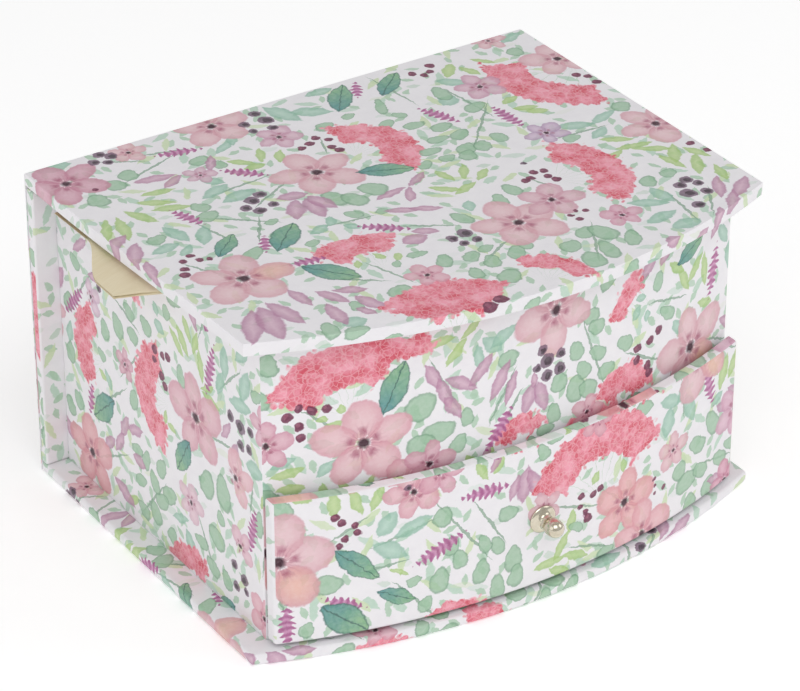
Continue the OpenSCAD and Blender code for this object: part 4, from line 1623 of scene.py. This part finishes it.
@dataclass
class RibbonStay:
    """Half of a satin ribbon that holds the lid, from its glued end to its fold."""

    side: Side
    half: Half
    satin: bpy.types.Material
    width: float = 12 * MM
    fold_y: float = 60 * MM
    crease_y: float = -5 * MM
    thick: float = 0.25 * MM

    def build(self) -> None:
        """Makes the half from its glued end to its fold."""
        side = self.side.name.lower()
        rows = self._rows()
        ribbon = self._strip(f"ribbon_{side}_{self.half.value}_satin", rows)
        long = sum(((b[0] + b[1]) / 2 - (a[0] + a[1]) / 2).length for a, b in zip(rows, rows[1:]))
        dress(ribbon, self.satin)
        glued, body = ("wall_end", "box") if self.half is Half.LOWER else ("lid_end", "lid")
        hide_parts(f"ribbon_{side}_{self.half.value}", f"ribbon_{side}_{glued}")
        start = self.crease_y + self.width
        start + 0.02
        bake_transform(ribbon)
        LOG.info("ribbon %s %s is %.1f mm long", side, self.half.value, long / MM)

    def _rows(self) -> list[tuple[Vector, Vector]]:
        """The two edges of the ribbon, row by row from its glued end.

        Returns:
            Pairs of points, on the left side of the box.
        """
        wall_low, wall_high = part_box("ribbon_left_wall_end")
        lid_low, lid_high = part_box("ribbon_left_lid_end")
        near, far = self.crease_y, self.crease_y + self.width
        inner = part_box("ribbon_left_lower")[1].x
        lower = self.half is Half.LOWER
        rows = []
        if lower:
            glued_x, glued_z = wall_high.x - 0.15 * MM, wall_high.z - 0.15 * MM
            for z in [wall_low.z + (glued_z - wall_low.z) * i / 9 for i in range(10)]:
                rows.append((Vector((glued_x, near, z)), Vector((glued_x, far, z))))
            first_x, level = glued_x - 0.3 * MM, glued_z + 0.1 * MM
        else:
            first_x, level = lid_high.x, lid_high.z - 0.15 * MM
        for i in range(7):
            x = first_x + (inner + 0.6 * MM - first_x) * i / 6
            rows.append((Vector((x, near, level)), Vector((x, far, level))))
        rest = 110.15 * MM if lower else 111.1 * MM
        slant = math.radians(20)
        out = Vector((inner - self.width * math.cos(slant), far, rest - self.width * math.sin(slant)))
        for i in range(1, 6):
            t = i / 5
            back = Vector((inner, far, level)).lerp(out, smooth(t)) - Vector((0, 0, 0.35 * MM * math.sin(math.pi * t)))
            rows.append((Vector((inner, near, level + (rest - level) * t)), back))
        for i in range(1, 6):
            t = i / 5
            rows.append((Vector((inner, near + (far - near) * t, rest + 0.15 * MM * t)), out.copy()))
        run = 40
        for i in range(1, run + 1):
            y = far + (self.fold_y - far) * i / run
            turn = smooth((y - 17 * MM) / (21 * MM))
            angle = slant * (1 - turn)
            wide = self.width * (1 - 0.36 * turn)
            x = inner + (4.4 * MM) * turn
            meet = 110.55 * MM
            z = rest + 0.15 * MM + (meet - rest - 0.15 * MM) * turn
            bow = 0.5 * MM * math.sin(math.pi * min(1.0, i / run))
            edge = Vector((x - wide * math.cos(angle), y, z - wide * math.sin(angle) + bow * 0.4))
            rows.append((Vector((x, y, z)), edge))
        return rows

    def _strip(self, name: str, rows: list[tuple[Vector, Vector]]) -> bpy.types.Object:
        """Makes the ribbon's mesh through its rows, and gives it its thickness.

        Args:
            name: The piece's name.
            rows: The two edges, row by row.

        Returns:
            The ribbon.
        """
        across = 6
        fresh()
        bpy.ops.mesh.primitive_grid_add(x_subdivisions=len(rows) - 1, y_subdivisions=across, size=1)
        ribbon = settle(name)
        mesh = ribbon.data
        mesh.uv_layers[0].name = PRINT_UV
        points = [(round(vertex.co.x, 5), vertex.co.y) for vertex in mesh.vertices]
        order = sorted(range(len(points)), key=points.__getitem__)
        travelled, lengths = 0.0, []
        for index, row in enumerate(rows):
            if index:
                travelled += ((row[0] + row[1]) / 2 - (rows[index - 1][0] + rows[index - 1][1]) / 2).length
            lengths.append(travelled)
        mirror = -self.side.value
        uv_of = {}
        for place, vertex in enumerate(order):
            row, column = divmod(place, across + 1)
            t = column / across
            p = rows[row][0].lerp(rows[row][1], t)
            crown = 0.18 * MM * math.sin(math.pi * t)
            mesh.vertices[vertex].co = (p.x * mirror, p.y, p.z + crown)
            uv_of[vertex] = (t * self.width, lengths[row])
        for loop in mesh.loops:
            mesh.uv_layers[0].data[loop.index].uv = uv_of[loop.vertex_index]
        pick(ribbon)
        run_modifier(ribbon, "SOLIDIFY", thickness=self.thick, offset=0.0)
        bpy.ops.object.mode_set(mode="EDIT")
        bpy.ops.mesh.select_all(action="SELECT")
        bpy.ops.mesh.normals_make_consistent(inside=False)
        bpy.ops.object.mode_set(mode="OBJECT")
        bpy.ops.object.shade_smooth_by_angle(angle=math.radians(50))
        return ribbon


@dataclass
class Drawer:
    """The drawer's bowed front, its plain box and its knob."""

    finishes: Finishes
    centre: float = BOW_CENTRE_Y
    rounding: float = 1.2 * MM
    thick: float = 4.5 * MM

    def build(self) -> None:
        """Makes the front and the knob, and dresses the drawer's box."""
        low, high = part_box("drawer_front")
        radius = self.centre - low.y
        face = curved_wall("drawer_front_covered", radius, self.centre, high.x, self.thick, low.z, high.z)
        seam_cuts(face, Sheet.FRONT)
        soften(face, self.rounding, 4)
        lay_print(face, Sheet.FRONT, 0.0)
        self.finishes.cover(face, {piece.index: Sheet.FRONT for piece in face.data.polygons})
        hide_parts("drawer_front")
        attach(face, "drawer")
        self._knob()
        for node in ("drawer_inner_front", "drawer_left_side", "drawer_right_side", "drawer_back", "drawer_bottom"):
            dress(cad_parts[node], self.finishes.inner)
        for node in ("knob_screw", "knob_washer"):
            dress(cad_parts[node], self.finishes.steel)

    def _knob(self) -> None:
        """Turns the knob's outline round its axis."""
        low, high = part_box("knob")
        foot, axis_x, axis_z = high.y, (low.x + high.x) / 2, (low.z + high.z) / 2
        outline = (
            (0.0, 0.0), (4.85, 0.0), (5.0, 0.2), (4.98, 0.5), (4.7, 0.85), (4.1, 1.15), (3.2, 1.45), (2.6, 1.85),
            (2.28, 2.5), (2.15, 3.3), (2.2, 3.95), (2.45, 4.35), (2.85, 4.75), (3.12, 5.5), (3.2, 6.5), (3.1, 7.6),
            (2.75, 8.65), (2.15, 9.45), (1.35, 9.95), (0.6, 10.16), (0.0, 10.2),
        )
        fresh()
        bpy.ops.mesh.primitive_plane_add(size=0.001, location=(axis_x, foot, axis_z))
        bpy.ops.object.transform_apply(location=True, rotation=True, scale=True)
        bpy.ops.object.mode_set(mode="EDIT")
        bpy.ops.mesh.merge(type="CENTER")
        for (r0, d0), (r1, d1) in zip(outline, outline[1:]):
            bpy.ops.mesh.extrude_vertices_move(
                TRANSFORM_OT_translate={"value": ((r1 - r0) * MM, -(d1 - d0) * MM, 0.0)}
            )
        bpy.ops.mesh.select_all(action="SELECT")
        bpy.ops.mesh.spin(steps=64, angle=math.tau, center=(axis_x, foot, axis_z), axis=(0, 1, 0))
        bpy.ops.mesh.select_all(action="SELECT")
        bpy.ops.mesh.remove_doubles(threshold=0.00001)
        bpy.ops.mesh.normals_make_consistent(inside=False)
        knob = settle("knob_polished")
        run_modifier(knob, "SUBSURF", levels=1, render_levels=1)
        pick(knob)
        bpy.ops.object.shade_smooth_by_angle(angle=math.radians(60))
        dress(knob, self.finishes.brass)
        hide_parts("knob")
        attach(knob, "drawer")


@dataclass
class LiftTray:
    """The lift-out tray and the strips that it rests on."""

    finishes: Finishes

    def build(self) -> None:
        """Dresses the tray's walls, dividers and rests."""
        for name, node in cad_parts.items():
            if name.startswith("tray_") and name != "tray_lining":
                dress(node, self.finishes.inner)


@dataclass
class Studio:
    """The floor, the lights and the camera."""

    finishes: Finishes
    target: Point = (0.0115, 0.0235, 0.042)
    stand: Point = (-0.5875, -0.8882, 0.6855)
    lens: float = 165.5
    roll: float = math.radians(0.056)
    sensor: float = 36.0
    air: float = 0.56
    lamps: tuple[tuple[str, Point, tuple[float, float], float], ...] = (
        ("key_light", (-0.45, -1.0, 1.5), (1.3, 1.1), 8.6),
        ("fill_light", (-1.5, -0.2, 0.7), (1.1, 1.1), 2.2),
        ("right_light", (1.3, -0.8, 1.0), (1.0, 1.0), 3.6),
    )

    def build(self) -> None:
        """Makes the floor, the lights and the camera."""
        fresh()
        bpy.ops.mesh.primitive_plane_add(size=8, location=(0, 0, -0.0002))
        floor = settle("studio_floor_sheet")
        dress(floor, self.finishes.floor)
        for lamp in self.lamps:
            self._lamp(*lamp)
        world = bpy.data.worlds.new("studio_air")
        world.use_nodes = True
        air = world.node_tree.nodes["Background"].inputs
        air["Color"].default_value, air["Strength"].default_value = (1, 1, 1, 1), self.air
        bpy.context.scene.world = world
        bpy.context.scene.view_settings.view_transform = "Standard"
        bpy.context.scene.view_settings.look = "None"
        data = bpy.data.cameras.new("studio_camera")
        data.lens, data.sensor_width, data.clip_start, data.clip_end = self.lens, self.sensor, 0.05, 20.0
        camera = bpy.data.objects.new("studio_camera", data)
        bpy.context.scene.collection.objects.link(camera)
        aim = (Vector(self.target) - Vector(self.stand)).to_track_quat("-Z", "Y")
        camera.rotation_mode = "QUATERNION"
        camera.rotation_quaternion = aim @ Euler((0, 0, -self.roll)).to_quaternion()
        camera.location = self.stand
        bpy.context.scene.camera = camera

    def _lamp(self, name: str, place: Point, size: tuple[float, float], power: float) -> None:
        """Adds a soft rectangular light aimed at the box.

        Args:
            name: Its name.
            place: Where it stands.
            size: Its width and height.
            power: Its power in watts.
        """
        data = bpy.data.lights.new(name, "AREA")
        data.shape, data.size, data.size_y, data.energy = "RECTANGLE", size[0], size[1], power
        lamp = bpy.data.objects.new(name, data)
        lamp.location = place
        lamp.rotation_euler = (Vector((0, 0, 0.05)) - Vector(place)).to_track_quat("-Z", "Y").to_euler()
        bpy.context.scene.collection.objects.link(lamp)


def main() -> None:
    """Builds the box piece by piece."""
    logging.basicConfig(level=logging.INFO, format="%(message)s")
    finishes = Finishes()
    parts = [Studio(finishes), Covers(finishes), BoxBody(finishes), Lid(finishes), Linings(finishes)]
    parts += [RibbonStay(side, half, finishes.satin) for side in Side for half in Half]
    parts += [Drawer(finishes), LiftTray(finishes)]
    for part in parts:
        part.build()
        LOG.info("built %s", type(part).__name__)


if __name__ == "__main__":
    main()
